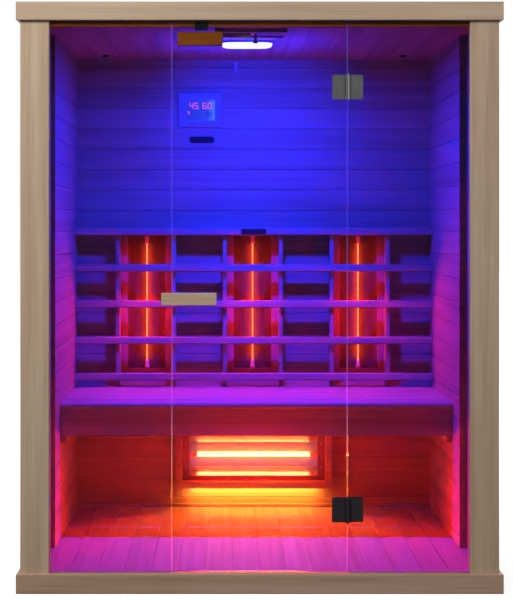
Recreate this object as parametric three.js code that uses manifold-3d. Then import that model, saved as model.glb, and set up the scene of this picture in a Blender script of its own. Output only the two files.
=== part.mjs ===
// Infrared sauna cabin for three people: timber panels with an all-glass front, a slatted
// bench and backrest, three quartz heaters in the back wall and one calf heater.
// Millimetres, +Z up, +Y towards the back wall, origin on the ground under the middle.

import * as THREE from 'three';
import { mergeVertices } from 'three/addons/utils/BufferGeometryUtils.js';
import Module from 'manifold-3d';

const wasm = await Module();
wasm.setup();

// Cabin outside
const CABIN_WIDTH = 1540;
const CABIN_DEPTH = 1100;
const CABIN_HEIGHT = 1900;
const OVERHANG = 12;
const ARRIS = 2;

// Clearances
const FITTING_GAP = 0.3;
const RUNNING_GAP = 0.8;
const CUT_THROUGH = 5;

// Floor panel
const PLINTH_HEIGHT = 63;
const PLINTH_RAIL = 60;
const DECK_THICKNESS = 24;
const DECK_LEDGE = 18;
const JOIST_COUNT = 6;
const JOIST_WIDTH = 45;
const FLOOR_BOARD = 88;

// Roof panel
const CORNICE_HEIGHT = 60;
const CORNICE_RAIL = 52;
const CEILING_THICKNESS = 16;
const CEILING_BOARD = 88;
const ROOF_COVER_THICKNESS = 9;
const COVER_REBATE = 15;

// Walls and their linings
const SIDE_WALL = 45;
const BACK_WALL = 35;
const SIDE_LINING = 24;
const BACK_LINING = 25;
const LINING_SETBACK = 346;
const LINING_BOARD = 81.4;
const LINING_FIRST_JOINT = 37.7;
const OUTSIDE_BOARD = 92;
const BOARD_JOINT_WIDTH = 4;
const BOARD_JOINT_DEPTH = 3;

// Glass front
const POST_WIDTH = 93;
const POST_DEPTH = 40;
const GLASS_THICKNESS = 8;
const GLASS_SETBACK = 18;
const GLASS_GROOVE = 10;
const GLASS_PLAY = 0.5;
const DOOR_WIDTH = 564;
const DOOR_EDGE_GAP = 4;
const DOOR_END_GAP = 3;
const HEADER_HEIGHT = 15;
const HEADER_DEPTH = 36;
const HEADER_GAP = 3;

// Door hinges
const HINGE_HEIGHT = 79;
const HINGE_LEAF_REACH = 50;
const HINGE_LEAF_THICKNESS = 3.5;
const HINGE_BARREL = 12;
const HINGE_PIN = 6;
const HINGE_PIN_BORE = 6.4;
const HINGE_PIN_HEAD = 10;
const HINGE_PIN_HEAD_HEIGHT = 4;
const HINGE_STANDOFF = 1;
const UPPER_HINGE_DROP = 209;
const LOWER_HINGE_RISE = 198;

// Door furniture
const HANDLE_LENGTH = 177;
const HANDLE_HEIGHT = 41;
const HANDLE_DEPTH = 28;
const HANDLE_FOOT = 12;
const HANDLE_FINGER_GROOVE = 7;
const HANDLE_ROUNDING = 4;
const HANDLE_OVERLAP = 34;
const HANDLE_RISE = 881.5;
const INNER_HANDLE_LENGTH = 133;
const INNER_HANDLE_INSET = 4;
const CATCH_BLOCK_LENGTH = 146;
const CATCH_BLOCK_HEIGHT = 44;
const CATCH_BLOCK_DEPTH = 24;
const CATCH_BLOCK_INSET = 17;
const CATCH_BLOCK_DROP = 29;
const MAGNET_LENGTH = 35;
const MAGNET_DEPTH = 12;
const MAGNET_SLOT = 3;
const MAGNET_INSET = 77;

// Bench
const BENCH_HEIGHT = 485;
const BENCH_DEPTH = 485;
const BENCH_SLATS = 4;
const BENCH_SLAT_THICKNESS = 20;
const BENCH_SLAT_GAP = 10;
const BENCH_NOSING = 8;
const BENCH_SLAT_ROUNDING = 3;
const FASCIA_HEIGHT = 96;
const FASCIA_THICKNESS = 22;
const FASCIA_SETBACK = 8;
const LEDGER_WIDTH = 20;
const LEDGER_HEIGHT = 124;
const REAR_RAIL_WIDTH = 25;
const REAR_RAIL_HEIGHT = 60;
const BEARER_WIDTH = 40;
const BEARER_HEIGHT = 40;
const BEARER_SPACING = 460;

// Backrest
const BACKREST_SLATS = 5;
const BACKREST_PITCH = 142.5;
const BACKREST_SLAT_HEIGHT = 29;
const BACKREST_SLAT_THICKNESS = 20;
const BACKREST_ROUNDING = 5;
const BACKREST_STANDOFF = 77;
const BACKREST_RISE = 25;
const BENCH_TO_BACKREST = 4;
const BACKREST_CAP = 8;
const BATTEN_WIDTH = 15;
const BATTEN_TO_FLANGE = 3;
const CROSS_RAIL_DEPTH = 30;

// Heaters
const HEATER_COUNT = 3;
const HEATER_SPACING = 421;
const HEATER_OFFSET = -4;
const HEATER_WIDTH = 150;
const HEATER_LENGTH = 524;
const HEATER_RISE = 67;
const HEATER_FLANGE = 25;
const CALF_WIDTH = 157;
const CALF_LENGTH = 508;
const CALF_CENTRE = 202;
const CALF_SIDE_FLANGE = 18.5;
const CALF_END_FLANGE = 30;
const CALF_SURROUND_RAIL = 24;
const CALF_SURROUND_DEPTH = 45;
const SURROUND_ROUNDING = 3;
const REFLECTOR_DEPTH = 42;
const REFLECTOR_WALL = 1.5;
const REFLECTOR_TAPER = 30;
const FLANGE_THICKNESS = 2;
const POCKET_CLEARANCE = 1;
const TUBE_DIAMETER = 11;
const TUBE_DEPTH = 18;
const TUBE_END_DIAMETER = 20;
const TUBE_END_LENGTH = 30;
const TUBE_END_STEP = 8;

// Control panel and temperature probe
const PANEL_WIDTH = 172;
const PANEL_HEIGHT = 135;
const PANEL_PROUD = 10;
const PANEL_ROUNDING = 8;
const PANEL_BEVEL = 3;
const PANEL_OFFSET = -212;
const PANEL_DROP = 200;
const PANEL_BOX_INSET = 12;
const PANEL_BOX_DEPTH = 22;
const SCREEN_WIDTH = 116;
const SCREEN_HEIGHT = 82;
const SCREEN_THICKNESS = 2;
const PROBE_DIAMETER = 12;
const PROBE_LENGTH = 37;
const PROBE_OFFSET = -71;
const PROBE_DROP = 12;
const PROBE_STANDOFF = 4;

// Ceiling lamp
const LAMP_WIDTH = 190;
const LAMP_DEPTH = 120;
const LAMP_CORNER = 46;
const LAMP_OFFSET = -34;
const LAMP_FROM_LINING = 512;
const LAMP_BASE_HEIGHT = 6;
const LAMP_DOME_HEIGHT = 10;
const LAMP_DOME_INSET = 4;

// Ceiling vent with its sliding shutter
const VENT_HOLE_WIDTH = 98;
const VENT_HOLE_DEPTH = 100;
const VENT_OFFSET = -25;
const VENT_FROM_FRONT = 233;
const VENT_FRAME_HEIGHT = 14;
const VENT_RAIL = 17;
const VENT_END = 6;
const VENT_GROOVE = 4;
const SHUTTER_THICKNESS = 6;
const SHUTTER_LAP = 8;
const SHUTTER_KNOB = 8;
const SHUTTER_KNOB_LENGTH = 32;
const SHUTTER_KNOB_INSET = 16;

// Power unit in the roof
const POWER_WIDTH = 300;
const POWER_DEPTH = 170;
const POWER_HEIGHT = 32;
const POWER_OFFSET = 300;
const POWER_TO_RAIL = 10;
const GLAND_DIAMETER = 20;
const GLAND_RECESS = 2;

// Faces of round pieces
const ROUND_SIDES = 20;
const CORNER_STEPS = 3;

// Planes that the pieces share
const SIDE_X = CABIN_WIDTH / 2;
const FRONT_Y = -CABIN_DEPTH / 2;
const BACK_Y = CABIN_DEPTH / 2;
const FLOOR_Z = PLINTH_HEIGHT;
const CEILING_Z = CABIN_HEIGHT - CORNICE_HEIGHT;
const WALL_HEIGHT = CEILING_Z - FLOOR_Z;
const WALL_X = SIDE_X - SIDE_WALL;
const LINING_X = WALL_X - SIDE_LINING;
const LINING_Y = BACK_Y - BACK_WALL - BACK_LINING;
const LINING_FRONT = FRONT_Y + LINING_SETBACK;
const POST_X = SIDE_X - POST_WIDTH;
const GLASS_FRONT = FRONT_Y + GLASS_SETBACK;
const GLASS_BACK = GLASS_FRONT + GLASS_THICKNESS;
const DOOR_X = DOOR_WIDTH / 2;
const DOOR_BOTTOM = FLOOR_Z + DOOR_END_GAP;
const DOOR_TOP = CEILING_Z - DOOR_END_GAP;
const HINGE_X = DOOR_X + DOOR_EDGE_GAP / 2;
const HINGE_Y = GLASS_FRONT - HINGE_STANDOFF - HINGE_BARREL / 2;
const BENCH_Z = FLOOR_Z + BENCH_HEIGHT;
const BENCH_BED_Z = BENCH_Z - BENCH_SLAT_THICKNESS;
const BACKREST_Y = LINING_Y - BACKREST_STANDOFF;
const BENCH_BACK = BACKREST_Y - BENCH_TO_BACKREST;
const BENCH_FRONT = BENCH_BACK - BENCH_DEPTH;
const FASCIA_BACK = BENCH_FRONT + FASCIA_SETBACK + FASCIA_THICKNESS;
const LEDGER_X = LINING_X - LEDGER_WIDTH;
const BACKREST_BASE = BENCH_Z + BACKREST_RISE;
const BACKREST_TOP = BACKREST_BASE + (BACKREST_SLATS - 1) * BACKREST_PITCH + BACKREST_SLAT_HEIGHT;
const HEATER_Z = BENCH_Z + HEATER_RISE + HEATER_LENGTH / 2;
const CALF_Z = FLOOR_Z + CALF_CENTRE;
const PANEL_Z = CEILING_Z - PANEL_DROP;
const VENT_HOLE_X = VENT_OFFSET - VENT_HOLE_WIDTH / 2 - SHUTTER_LAP;
const VENT_Y = FRONT_Y + VENT_FROM_FRONT;

const X = new THREE.Vector3(1, 0, 0);
const Y = new THREE.Vector3(0, 1, 0);
const Z = new THREE.Vector3(0, 0, 1);

// Solid modelling helpers
function solid(geometry) {
  const bare = geometry.clone();
  bare.deleteAttribute('normal');
  bare.deleteAttribute('uv');
  const merged = mergeVertices(bare);
  const vertProperties = new Float32Array(merged.attributes.position.array);
  const triVerts = new Uint32Array(merged.index.array);
  return new wasm.Manifold(new wasm.Mesh({ numProp: 3, vertProperties, triVerts }));
}

function surface(body) {
  const mesh = body.getMesh();
  const geometry = new THREE.BufferGeometry();
  geometry.setAttribute('position', new THREE.BufferAttribute(mesh.vertProperties, 3));
  geometry.setIndex(new THREE.BufferAttribute(mesh.triVerts, 1));
  const faceted = geometry.toNonIndexed();
  faceted.computeVertexNormals();
  return faceted;
}

function join(...geometries) {
  return surface(geometries.map(solid).reduce((whole, piece) => whole.add(piece)));
}

function cut(geometry, ...tools) {
  return surface(tools.map(solid).reduce((rest, tool) => rest.subtract(tool), solid(geometry)));
}

function block(x, y, z) {
  const size = [x, y, z].map(([low, high]) => high - low);
  const centre = [x, y, z].map(([low, high]) => (low + high) / 2);
  return new THREE.BoxGeometry(...size).translate(...centre);
}

// A profile drawn in u and v, pulled out along u x v from the origin point
function extrude(shape, length, origin, u, v, bevel = {}) {
  const w = new THREE.Vector3().crossVectors(u, v);
  const options = { depth: length, bevelEnabled: false, curveSegments: CORNER_STEPS, ...bevel };
  const frame = new THREE.Matrix4().makeBasis(u, v, w).setPosition(...origin);
  return new THREE.ExtrudeGeometry(shape, options).applyMatrix4(frame);
}

function polygon(points) {
  return new THREE.Shape(points.map(([u, v]) => new THREE.Vector2(u, v)));
}

function roundedRectangle(width, height, radius) {
  const shape = new THREE.Shape();
  const u = width / 2;
  const v = height / 2;
  shape.moveTo(u, radius - v);
  shape.absarc(u - radius, v - radius, radius, 0, Math.PI / 2);
  shape.absarc(radius - u, v - radius, radius, Math.PI / 2, Math.PI);
  shape.absarc(radius - u, radius - v, radius, Math.PI, 1.5 * Math.PI);
  shape.absarc(u - radius, radius - v, radius, 1.5 * Math.PI, 2 * Math.PI);
  return shape;
}

function chamferedBlock(x, y, z, arris) {
  const [width, depth, height] = [x, y, z].map(([low, high]) => high - low - 2 * arris);
  const outline = polygon([
    [-width / 2, -depth / 2],
    [width / 2, -depth / 2],
    [width / 2, depth / 2],
    [-width / 2, depth / 2],
  ]);
  const bevel = { bevelEnabled: true, bevelThickness: arris, bevelSize: arris, bevelSegments: 1 };
  const origin = [(x[0] + x[1]) / 2, (y[0] + y[1]) / 2, z[0] + arris];
  return extrude(outline, height, origin, X, Y, bevel);
}

function upright(diameter, length, x, y, base) {
  const radius = diameter / 2;
  const geometry = new THREE.CylinderGeometry(radius, radius, length, ROUND_SIDES);
  return geometry.rotateX(Math.PI / 2).translate(x, y, base + length / 2);
}

function turned(profile) {
  const points = profile.map(([radius, along]) => new THREE.Vector2(radius, along));
  return new THREE.LatheGeometry(points, ROUND_SIDES).rotateX(Math.PI / 2);
}

// Boards side by side: a panel profile with a V joint at each board edge on its far face
function boards(width, thickness, firstJoint, pitch) {
  const points = [[0, 0], [width, 0], [width, thickness]];
  const joints = [];
  for (let joint = firstJoint; joint < width - BOARD_JOINT_WIDTH; joint += pitch) {
    joints.push(joint);
  }
  for (const joint of joints.reverse()) {
    points.push([joint + BOARD_JOINT_WIDTH / 2, thickness]);
    points.push([joint, thickness - BOARD_JOINT_DEPTH]);
    points.push([joint - BOARD_JOINT_WIDTH / 2, thickness]);
  }
  points.push([0, thickness]);
  return polygon(points);
}

// The first joint that centres whole boards on a panel
function centredJoint(width, pitch) {
  const wholeBoards = Math.floor((width / 2 - BOARD_JOINT_WIDTH) / pitch);
  return width / 2 - wholeBoards * pitch;
}

function bar(height, thickness, radius, y, z, x) {
  const outline = roundedRectangle(thickness, height, radius);
  return extrude(outline, x[1] - x[0], [x[0], y + thickness / 2, z + height / 2], Y, Z);
}

// Finishes
const OUTSIDE_WOOD = { color: 0xcdb296, roughness: 0.55, metalness: 0 };
const INSIDE_WOOD = { color: 0xc9a983, roughness: 0.6, metalness: 0 };
const CLEAR_GLASS = { color: 0xeaf4f2, roughness: 0.04, metalness: 0, transparent: true, opacity: 0.2 };
const BRIGHT_STEEL = { color: 0xb9bcc0, roughness: 0.3, metalness: 1 };
const DARK_STEEL = { color: 0x3a3c42, roughness: 0.35, metalness: 1 };
const MIRROR_STEEL = { color: 0xdcdcdc, roughness: 0.08, metalness: 1 };
const QUARTZ = { color: 0xffb060, roughness: 0.2, metalness: 0, emissive: 0xff5a10 };
const DARK_PLASTIC = { color: 0x26262c, roughness: 0.45, metalness: 0 };
const SCREEN_GLASS = { color: 0x10131c, roughness: 0.1, metalness: 0 };
const OPAL = { color: 0xe8ecff, roughness: 0.35, metalness: 0, emissive: 0x3040ff };
const GREY_PLASTIC = { color: 0xb4b4b4, roughness: 0.5, metalness: 0 };

const cabin = new THREE.Group();

function add(group, name, geometry, finish) {
  const mesh = new THREE.Mesh(geometry, new THREE.MeshStandardMaterial(finish));
  mesh.name = name;
  group.add(mesh);
}

function mirrored(side, low, high) {
  return side < 0 ? [-high, -low] : [low, high];
}

const SIDES = [['left', -1], ['right', 1]];
const PANE_X = [DOOR_X + DOOR_EDGE_GAP, POST_X + GLASS_GROOVE];
const GROOVE_Y = [GLASS_FRONT - GLASS_PLAY, GLASS_BACK + GLASS_PLAY];

// The groove for a fixed pane in the plinth or the cornice
function paneGroove(side, z) {
  return block(mirrored(side, PANE_X[0] - GLASS_PLAY, PANE_X[1] + GLASS_PLAY), GROOVE_Y, z);
}

function ventHole(z) {
  const x = [VENT_HOLE_X - VENT_HOLE_WIDTH / 2, VENT_HOLE_X + VENT_HOLE_WIDTH / 2];
  return block(x, [VENT_Y - VENT_HOLE_DEPTH / 2, VENT_Y + VENT_HOLE_DEPTH / 2], z);
}

// Floor panel: a frame on joists with the boarded deck let into it
function floorPanel() {
  const group = new THREE.Group();
  const outX = SIDE_X + OVERHANG;
  const outY = BACK_Y + OVERHANG;
  const deckX = outX - PLINTH_RAIL;
  const deckY = outY - PLINTH_RAIL;
  const deckBase = FLOOR_Z - DECK_THICKNESS;
  const bayX = deckX - DECK_LEDGE;
  const bayY = deckY - DECK_LEDGE;
  const bayWidth = (2 * bayX - JOIST_COUNT * JOIST_WIDTH) / (JOIST_COUNT + 1);
  const hollows = [block([-deckX, deckX], [-deckY, deckY], [deckBase, FLOOR_Z + CUT_THROUGH])];
  for (let bay = 0; bay <= JOIST_COUNT; bay += 1) {
    const start = bay * (bayWidth + JOIST_WIDTH) - bayX;
    hollows.push(block([start, start + bayWidth], [-bayY, bayY], [-CUT_THROUGH, deckBase + CUT_THROUGH]));
  }
  for (const [, side] of SIDES) {
    hollows.push(paneGroove(side, [FLOOR_Z - GLASS_GROOVE, FLOOR_Z + CUT_THROUGH]));
  }
  const frame = chamferedBlock([-outX, outX], [-outY, outY], [0, FLOOR_Z], ARRIS);
  add(group, 'plinth_frame', cut(frame, ...hollows), OUTSIDE_WOOD);

  const width = 2 * (deckX - FITTING_GAP);
  const length = 2 * (deckY - FITTING_GAP);
  const deck = boards(width, DECK_THICKNESS, centredJoint(width, FLOOR_BOARD), FLOOR_BOARD);
  add(group, 'floor_deck', extrude(deck, length, [-width / 2, length / 2, deckBase], X, Z), INSIDE_WOOD);
  return group;
}

// Roof panel: the cornice frame, the boarded ceiling, the cover and the power unit between them
function roofPanel() {
  const group = new THREE.Group();
  const outX = SIDE_X + OVERHANG;
  const outY = BACK_Y + OVERHANG;
  const inX = outX - CORNICE_RAIL;
  const inY = outY - CORNICE_RAIL;
  const coverX = inX + COVER_REBATE;
  const coverY = inY + COVER_REBATE;
  const ceilingTop = CEILING_Z + CEILING_THICKNESS;
  const coverZ = CABIN_HEIGHT - ROOF_COVER_THICKNESS;
  const above = CABIN_HEIGHT + CUT_THROUGH;
  const powerBack = inY - POWER_TO_RAIL;
  const glandZ = ceilingTop + POWER_HEIGHT / 2;
  const glandBore = upright(GLAND_DIAMETER + 2 * FITTING_GAP, 2 * CORNICE_RAIL, 0, 0, -CORNICE_RAIL);
  const hollows = [
    block([-inX, inX], [-inY, inY], [CEILING_Z - CUT_THROUGH, above]),
    block([-coverX, coverX], [-coverY, coverY], [coverZ, above]),
    glandBore.rotateX(Math.PI / 2).translate(POWER_OFFSET, outY - CORNICE_RAIL / 2, glandZ),
  ];
  for (const [, side] of SIDES) {
    hollows.push(paneGroove(side, [CEILING_Z - CUT_THROUGH, CEILING_Z + GLASS_GROOVE]));
  }
  const frame = chamferedBlock([-outX, outX], [-outY, outY], [CEILING_Z, CABIN_HEIGHT], ARRIS);
  add(group, 'cornice_frame', cut(frame, ...hollows), OUTSIDE_WOOD);

  const width = 2 * (inX - FITTING_GAP);
  const length = 2 * (inY - FITTING_GAP);
  const profile = boards(width, CEILING_THICKNESS, centredJoint(width, CEILING_BOARD), CEILING_BOARD);
  const ceiling = extrude(profile, length, [-width / 2, -length / 2, ceilingTop], X, Z.clone().negate());
  const ceilingHole = ventHole([CEILING_Z - CUT_THROUGH, ceilingTop + CUT_THROUGH]);
  add(group, 'ceiling_panel', cut(ceiling, ceilingHole), INSIDE_WOOD);

  const lidX = coverX - FITTING_GAP;
  const lidY = coverY - FITTING_GAP;
  const lid = block([-lidX, lidX], [-lidY, lidY], [coverZ, CABIN_HEIGHT]);
  add(group, 'roof_cover', cut(lid, ventHole([coverZ - CUT_THROUGH, above])), OUTSIDE_WOOD);

  const powerX = [POWER_OFFSET - POWER_WIDTH / 2, POWER_OFFSET + POWER_WIDTH / 2];
  const powerY = [powerBack - POWER_DEPTH, powerBack];
  const box = chamferedBlock(powerX, powerY, [ceilingTop, ceilingTop + POWER_HEIGHT], ARRIS);
  const glandLength = outY - GLAND_RECESS - powerBack + CUT_THROUGH;
  const gland = upright(GLAND_DIAMETER, glandLength, 0, 0, 0).rotateX(-Math.PI / 2);
  const boss = gland.translate(POWER_OFFSET, powerBack - CUT_THROUGH, glandZ);
  add(group, 'power_unit', join(box, boss), GREY_PLASTIC);
  return group;
}

// Outer walls with upright boards outside, and their linings with lying boards inside
function walls() {
  const group = new THREE.Group();
  const sideLength = BACK_Y - FRONT_Y - POST_DEPTH;
  const sideFront = FRONT_Y + POST_DEPTH;
  const sideJoint = centredJoint(sideLength, OUTSIDE_BOARD);
  const side = boards(sideLength, SIDE_WALL, sideJoint, OUTSIDE_BOARD);
  const inward = X.clone().negate();
  const left = extrude(side, WALL_HEIGHT, [-WALL_X, sideFront, FLOOR_Z], Y, inward);
  const right = extrude(side, WALL_HEIGHT, [WALL_X, sideFront, CEILING_Z], Y, X);
  add(group, 'left_wall', left, OUTSIDE_WOOD);
  add(group, 'right_wall', right, OUTSIDE_WOOD);

  const backWidth = 2 * WALL_X;
  const backInside = BACK_Y - BACK_WALL;
  const back = boards(backWidth, BACK_WALL, centredJoint(backWidth, OUTSIDE_BOARD), OUTSIDE_BOARD);
  const backWall = extrude(back, WALL_HEIGHT, [-WALL_X, backInside, FLOOR_Z], X, Y);
  const pocketFloor = LINING_Y + REFLECTOR_DEPTH + REFLECTOR_WALL + POCKET_CLEARANCE;
  const pockets = heaterOpenings([LINING_Y, pocketFloor]);
  add(group, 'back_wall', cut(backWall, ...pockets), OUTSIDE_WOOD);

  const lining = boards(WALL_HEIGHT, SIDE_LINING, LINING_FIRST_JOINT, LINING_BOARD);
  const liningLength = LINING_Y - LINING_FRONT;
  const leftLining = extrude(lining, liningLength, [-WALL_X, LINING_FRONT, FLOOR_Z], Z, X);
  const rightLining = extrude(lining, liningLength, [WALL_X, LINING_Y, FLOOR_Z], Z, inward);
  add(group, 'left_lining', leftLining, INSIDE_WOOD);
  add(group, 'right_lining', rightLining, INSIDE_WOOD);

  const backLining = boards(WALL_HEIGHT, BACK_LINING, LINING_FIRST_JOINT, LINING_BOARD);
  const towardsFront = Y.clone().negate();
  const backBoards = extrude(backLining, backWidth, [-WALL_X, backInside, FLOOR_Z], Z, towardsFront);
  const openings = heaterOpenings([LINING_Y - CUT_THROUGH, backInside + CUT_THROUGH]);
  const panelBoxX = PANEL_WIDTH / 2 - PANEL_BOX_INSET + FITTING_GAP;
  const panelBoxZ = PANEL_HEIGHT / 2 - PANEL_BOX_INSET + FITTING_GAP;
  openings.push(block(
    [PANEL_OFFSET - panelBoxX, PANEL_OFFSET + panelBoxX],
    [LINING_Y - CUT_THROUGH, backInside + CUT_THROUGH],
    [PANEL_Z - panelBoxZ, PANEL_Z + panelBoxZ],
  ));
  add(group, 'back_lining', cut(backBoards, ...openings), INSIDE_WOOD);
  return group;
}

function heaterCentre(index) {
  return HEATER_OFFSET + (index - (HEATER_COUNT - 1) / 2) * HEATER_SPACING;
}

// Clear openings in the back wall for the heater housings
function heaterOpenings(y) {
  const spare = REFLECTOR_WALL + POCKET_CLEARANCE;
  const openings = [];
  for (let index = 0; index < HEATER_COUNT; index += 1) {
    const centre = heaterCentre(index);
    const halfWidth = HEATER_WIDTH / 2 + spare;
    const halfLength = HEATER_LENGTH / 2 + spare;
    openings.push(block(
      [centre - halfWidth, centre + halfWidth],
      y,
      [HEATER_Z - halfLength, HEATER_Z + halfLength],
    ));
  }
  const calfX = CALF_LENGTH / 2 + spare;
  const calfZ = CALF_WIDTH / 2 + spare;
  openings.push(block([-calfX, calfX], y, [CALF_Z - calfZ, CALF_Z + calfZ]));
  return openings;
}

// Posts grooved for the fixed panes, the header stop rail and the panes themselves
function glassFront() {
  const group = new THREE.Group();
  const back = FRONT_Y + POST_DEPTH;
  const grooveX = POST_X + GLASS_GROOVE + GLASS_PLAY;
  const paneBottom = FLOOR_Z - GLASS_GROOVE;
  const paneTop = CEILING_Z + GLASS_GROOVE;
  for (const [name, side] of SIDES) {
    const profile = polygon([
      [side * (SIDE_X - ARRIS), FRONT_Y],
      [side * SIDE_X, FRONT_Y + ARRIS],
      [side * SIDE_X, back],
      [side * POST_X, back],
      [side * POST_X, GROOVE_Y[1]],
      [side * grooveX, GROOVE_Y[1]],
      [side * grooveX, GROOVE_Y[0]],
      [side * POST_X, GROOVE_Y[0]],
      [side * POST_X, FRONT_Y + ARRIS],
      [side * (POST_X + ARRIS), FRONT_Y],
    ]);
    add(group, `${name}_post`, extrude(profile, WALL_HEIGHT, [0, 0, FLOOR_Z], X, Y), OUTSIDE_WOOD);
    const pane = block(mirrored(side, ...PANE_X), [GLASS_FRONT, GLASS_BACK], [paneBottom, paneTop]);
    add(group, `${name}_glass`, pane, CLEAR_GLASS);
  }
  const headerFront = GLASS_BACK + HEADER_GAP;
  const headerZ = CEILING_Z - HEADER_HEIGHT;
  const magnetX = MAGNET_INSET - DOOR_X;
  const rail = block([-POST_X, POST_X], [headerFront, headerFront + HEADER_DEPTH], [headerZ, CEILING_Z]);
  const notch = block(
    [magnetX - FITTING_GAP, magnetX + MAGNET_LENGTH + FITTING_GAP],
    [headerFront - CUT_THROUGH, headerFront + MAGNET_DEPTH],
    [headerZ - CUT_THROUGH, CEILING_Z + CUT_THROUGH],
  );
  add(group, 'header_rail', cut(rail, notch), INSIDE_WOOD);

  const poleDepth = MAGNET_DEPTH / 2;
  const third = (HEADER_HEIGHT - MAGNET_SLOT) / 2;
  const magnet = polygon([
    [0, 0],
    [0, third],
    [poleDepth, third],
    [poleDepth, third + MAGNET_SLOT],
    [0, third + MAGNET_SLOT],
    [0, HEADER_HEIGHT],
    [MAGNET_DEPTH, HEADER_HEIGHT],
    [MAGNET_DEPTH, 0],
  ]);
  const magnetBody = extrude(magnet, MAGNET_LENGTH, [magnetX, headerFront, headerZ], Y, Z);
  add(group, 'catch_magnet', magnetBody, DARK_PLASTIC);
  return group;
}

// A wooden pull with finger grooves, lying across the glass and standing off it along v
function pull(length, x, glassFace, v) {
  const half = HANDLE_HEIGHT / 2;
  const neck = half - HANDLE_FINGER_GROOVE;
  const nose = HANDLE_DEPTH - HANDLE_ROUNDING;
  const outline = new THREE.Shape();
  outline.moveTo(-half + HANDLE_ROUNDING, HANDLE_DEPTH);
  outline.absarc(-half + HANDLE_ROUNDING, nose, HANDLE_ROUNDING, Math.PI / 2, Math.PI);
  outline.lineTo(-half, HANDLE_FOOT + HANDLE_ROUNDING);
  outline.quadraticCurveTo(-neck, HANDLE_FOOT, -neck, 0);
  outline.lineTo(neck, 0);
  outline.quadraticCurveTo(neck, HANDLE_FOOT, half, HANDLE_FOOT + HANDLE_ROUNDING);
  outline.lineTo(half, nose);
  outline.absarc(half - HANDLE_ROUNDING, nose, HANDLE_ROUNDING, 0, Math.PI / 2);
  const u = v.y < 0 ? Z : Z.clone().negate();
  return extrude(outline, length, [x, glassFace, FLOOR_Z + HANDLE_RISE], u, v);
}

// The door leaf with its handles and the wooden block of its catch
function door() {
  const group = new THREE.Group();
  const pane = block([-DOOR_X, DOOR_X], [GLASS_FRONT, GLASS_BACK], [DOOR_BOTTOM, DOOR_TOP]);
  add(group, 'door_glass', pane, CLEAR_GLASS);
  const outward = Y.clone().negate();
  const handleX = -DOOR_X - HANDLE_OVERLAP;
  const innerX = -DOOR_X + INNER_HANDLE_INSET;
  add(group, 'handle_outer', pull(HANDLE_LENGTH, handleX, GLASS_FRONT, outward), OUTSIDE_WOOD);
  const innerPull = pull(INNER_HANDLE_LENGTH, innerX, GLASS_BACK + FITTING_GAP, Y);
  add(group, 'handle_inner', innerPull, INSIDE_WOOD);
  const catchX = -DOOR_X + CATCH_BLOCK_INSET;
  const catchTop = DOOR_TOP - CATCH_BLOCK_DROP;
  const catchBlock = chamferedBlock(
    [catchX, catchX + CATCH_BLOCK_LENGTH],
    [GLASS_BACK + FITTING_GAP, GLASS_BACK + CATCH_BLOCK_DEPTH],
    [catchTop - CATCH_BLOCK_HEIGHT, catchTop],
    ARRIS,
  );
  add(group, 'catch_block', catchBlock, INSIDE_WOOD);
  return group;
}

// A butt hinge: the door leaf carries the end knuckles, the frame leaf the middle one
function hinge(name, centre, finish) {
  const group = new THREE.Group();
  const base = centre - HINGE_HEIGHT / 2;
  const third = HINGE_HEIGHT / 3;
  const slack = RUNNING_GAP / 2;
  const barrelClear = HINGE_BARREL / 2 + RUNNING_GAP;
  const plateY = [GLASS_FRONT - HINGE_LEAF_THICKNESS, GLASS_FRONT];
  const bore = upright(HINGE_PIN_BORE, HINGE_HEIGHT + 2 * CUT_THROUGH, HINGE_X, HINGE_Y, base - CUT_THROUGH);
  const knuckle = (low, high) => upright(HINGE_BARREL, high - low, HINGE_X, HINGE_Y, low);
  const plate = (side) => block(
    side < 0 ? [HINGE_X - HINGE_LEAF_REACH, HINGE_X - slack] : [HINGE_X + slack, HINGE_X + HINGE_LEAF_REACH],
    plateY,
    [base, base + HINGE_HEIGHT],
  );
  const relief = (low, high) => block(
    [HINGE_X - barrelClear, HINGE_X + barrelClear],
    [HINGE_Y - barrelClear, GLASS_FRONT + CUT_THROUGH],
    [low, high],
  );
  const lowJoint = base + third;
  const highJoint = base + 2 * third;
  const top = base + HINGE_HEIGHT;

  const doorPlate = cut(plate(-1), relief(lowJoint - slack, highJoint + slack));
  const doorKnuckles = [knuckle(base, lowJoint - slack), knuckle(highJoint + slack, top)];
  add(group, `${name}_door_leaf`, cut(join(doorPlate, ...doorKnuckles), bore), finish);

  const endReliefs = [relief(base - slack, lowJoint + slack), relief(highJoint - slack, top + slack)];
  const framePlate = cut(plate(1), ...endReliefs);
  const frameLeaf = cut(join(framePlate, knuckle(lowJoint + slack, highJoint - slack)), bore);
  add(group, `${name}_frame_leaf`, frameLeaf, finish);

  const neck = HINGE_PIN / 2;
  const head = HINGE_PIN_HEAD / 2;
  const shoulder = HINGE_HEIGHT / 2 + FITTING_GAP;
  const end = shoulder + HINGE_PIN_HEAD_HEIGHT;
  const pin = turned([
    [0, -end],
    [neck, -end],
    [head, -(end + shoulder) / 2],
    [head, -shoulder],
    [neck, -shoulder],
    [neck, shoulder],
    [head, shoulder],
    [head, (end + shoulder) / 2],
    [neck, end],
    [0, end],
  ]);
  add(group, `${name}_pin`, pin.translate(HINGE_X, HINGE_Y, centre), finish);
  return group;
}

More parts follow.
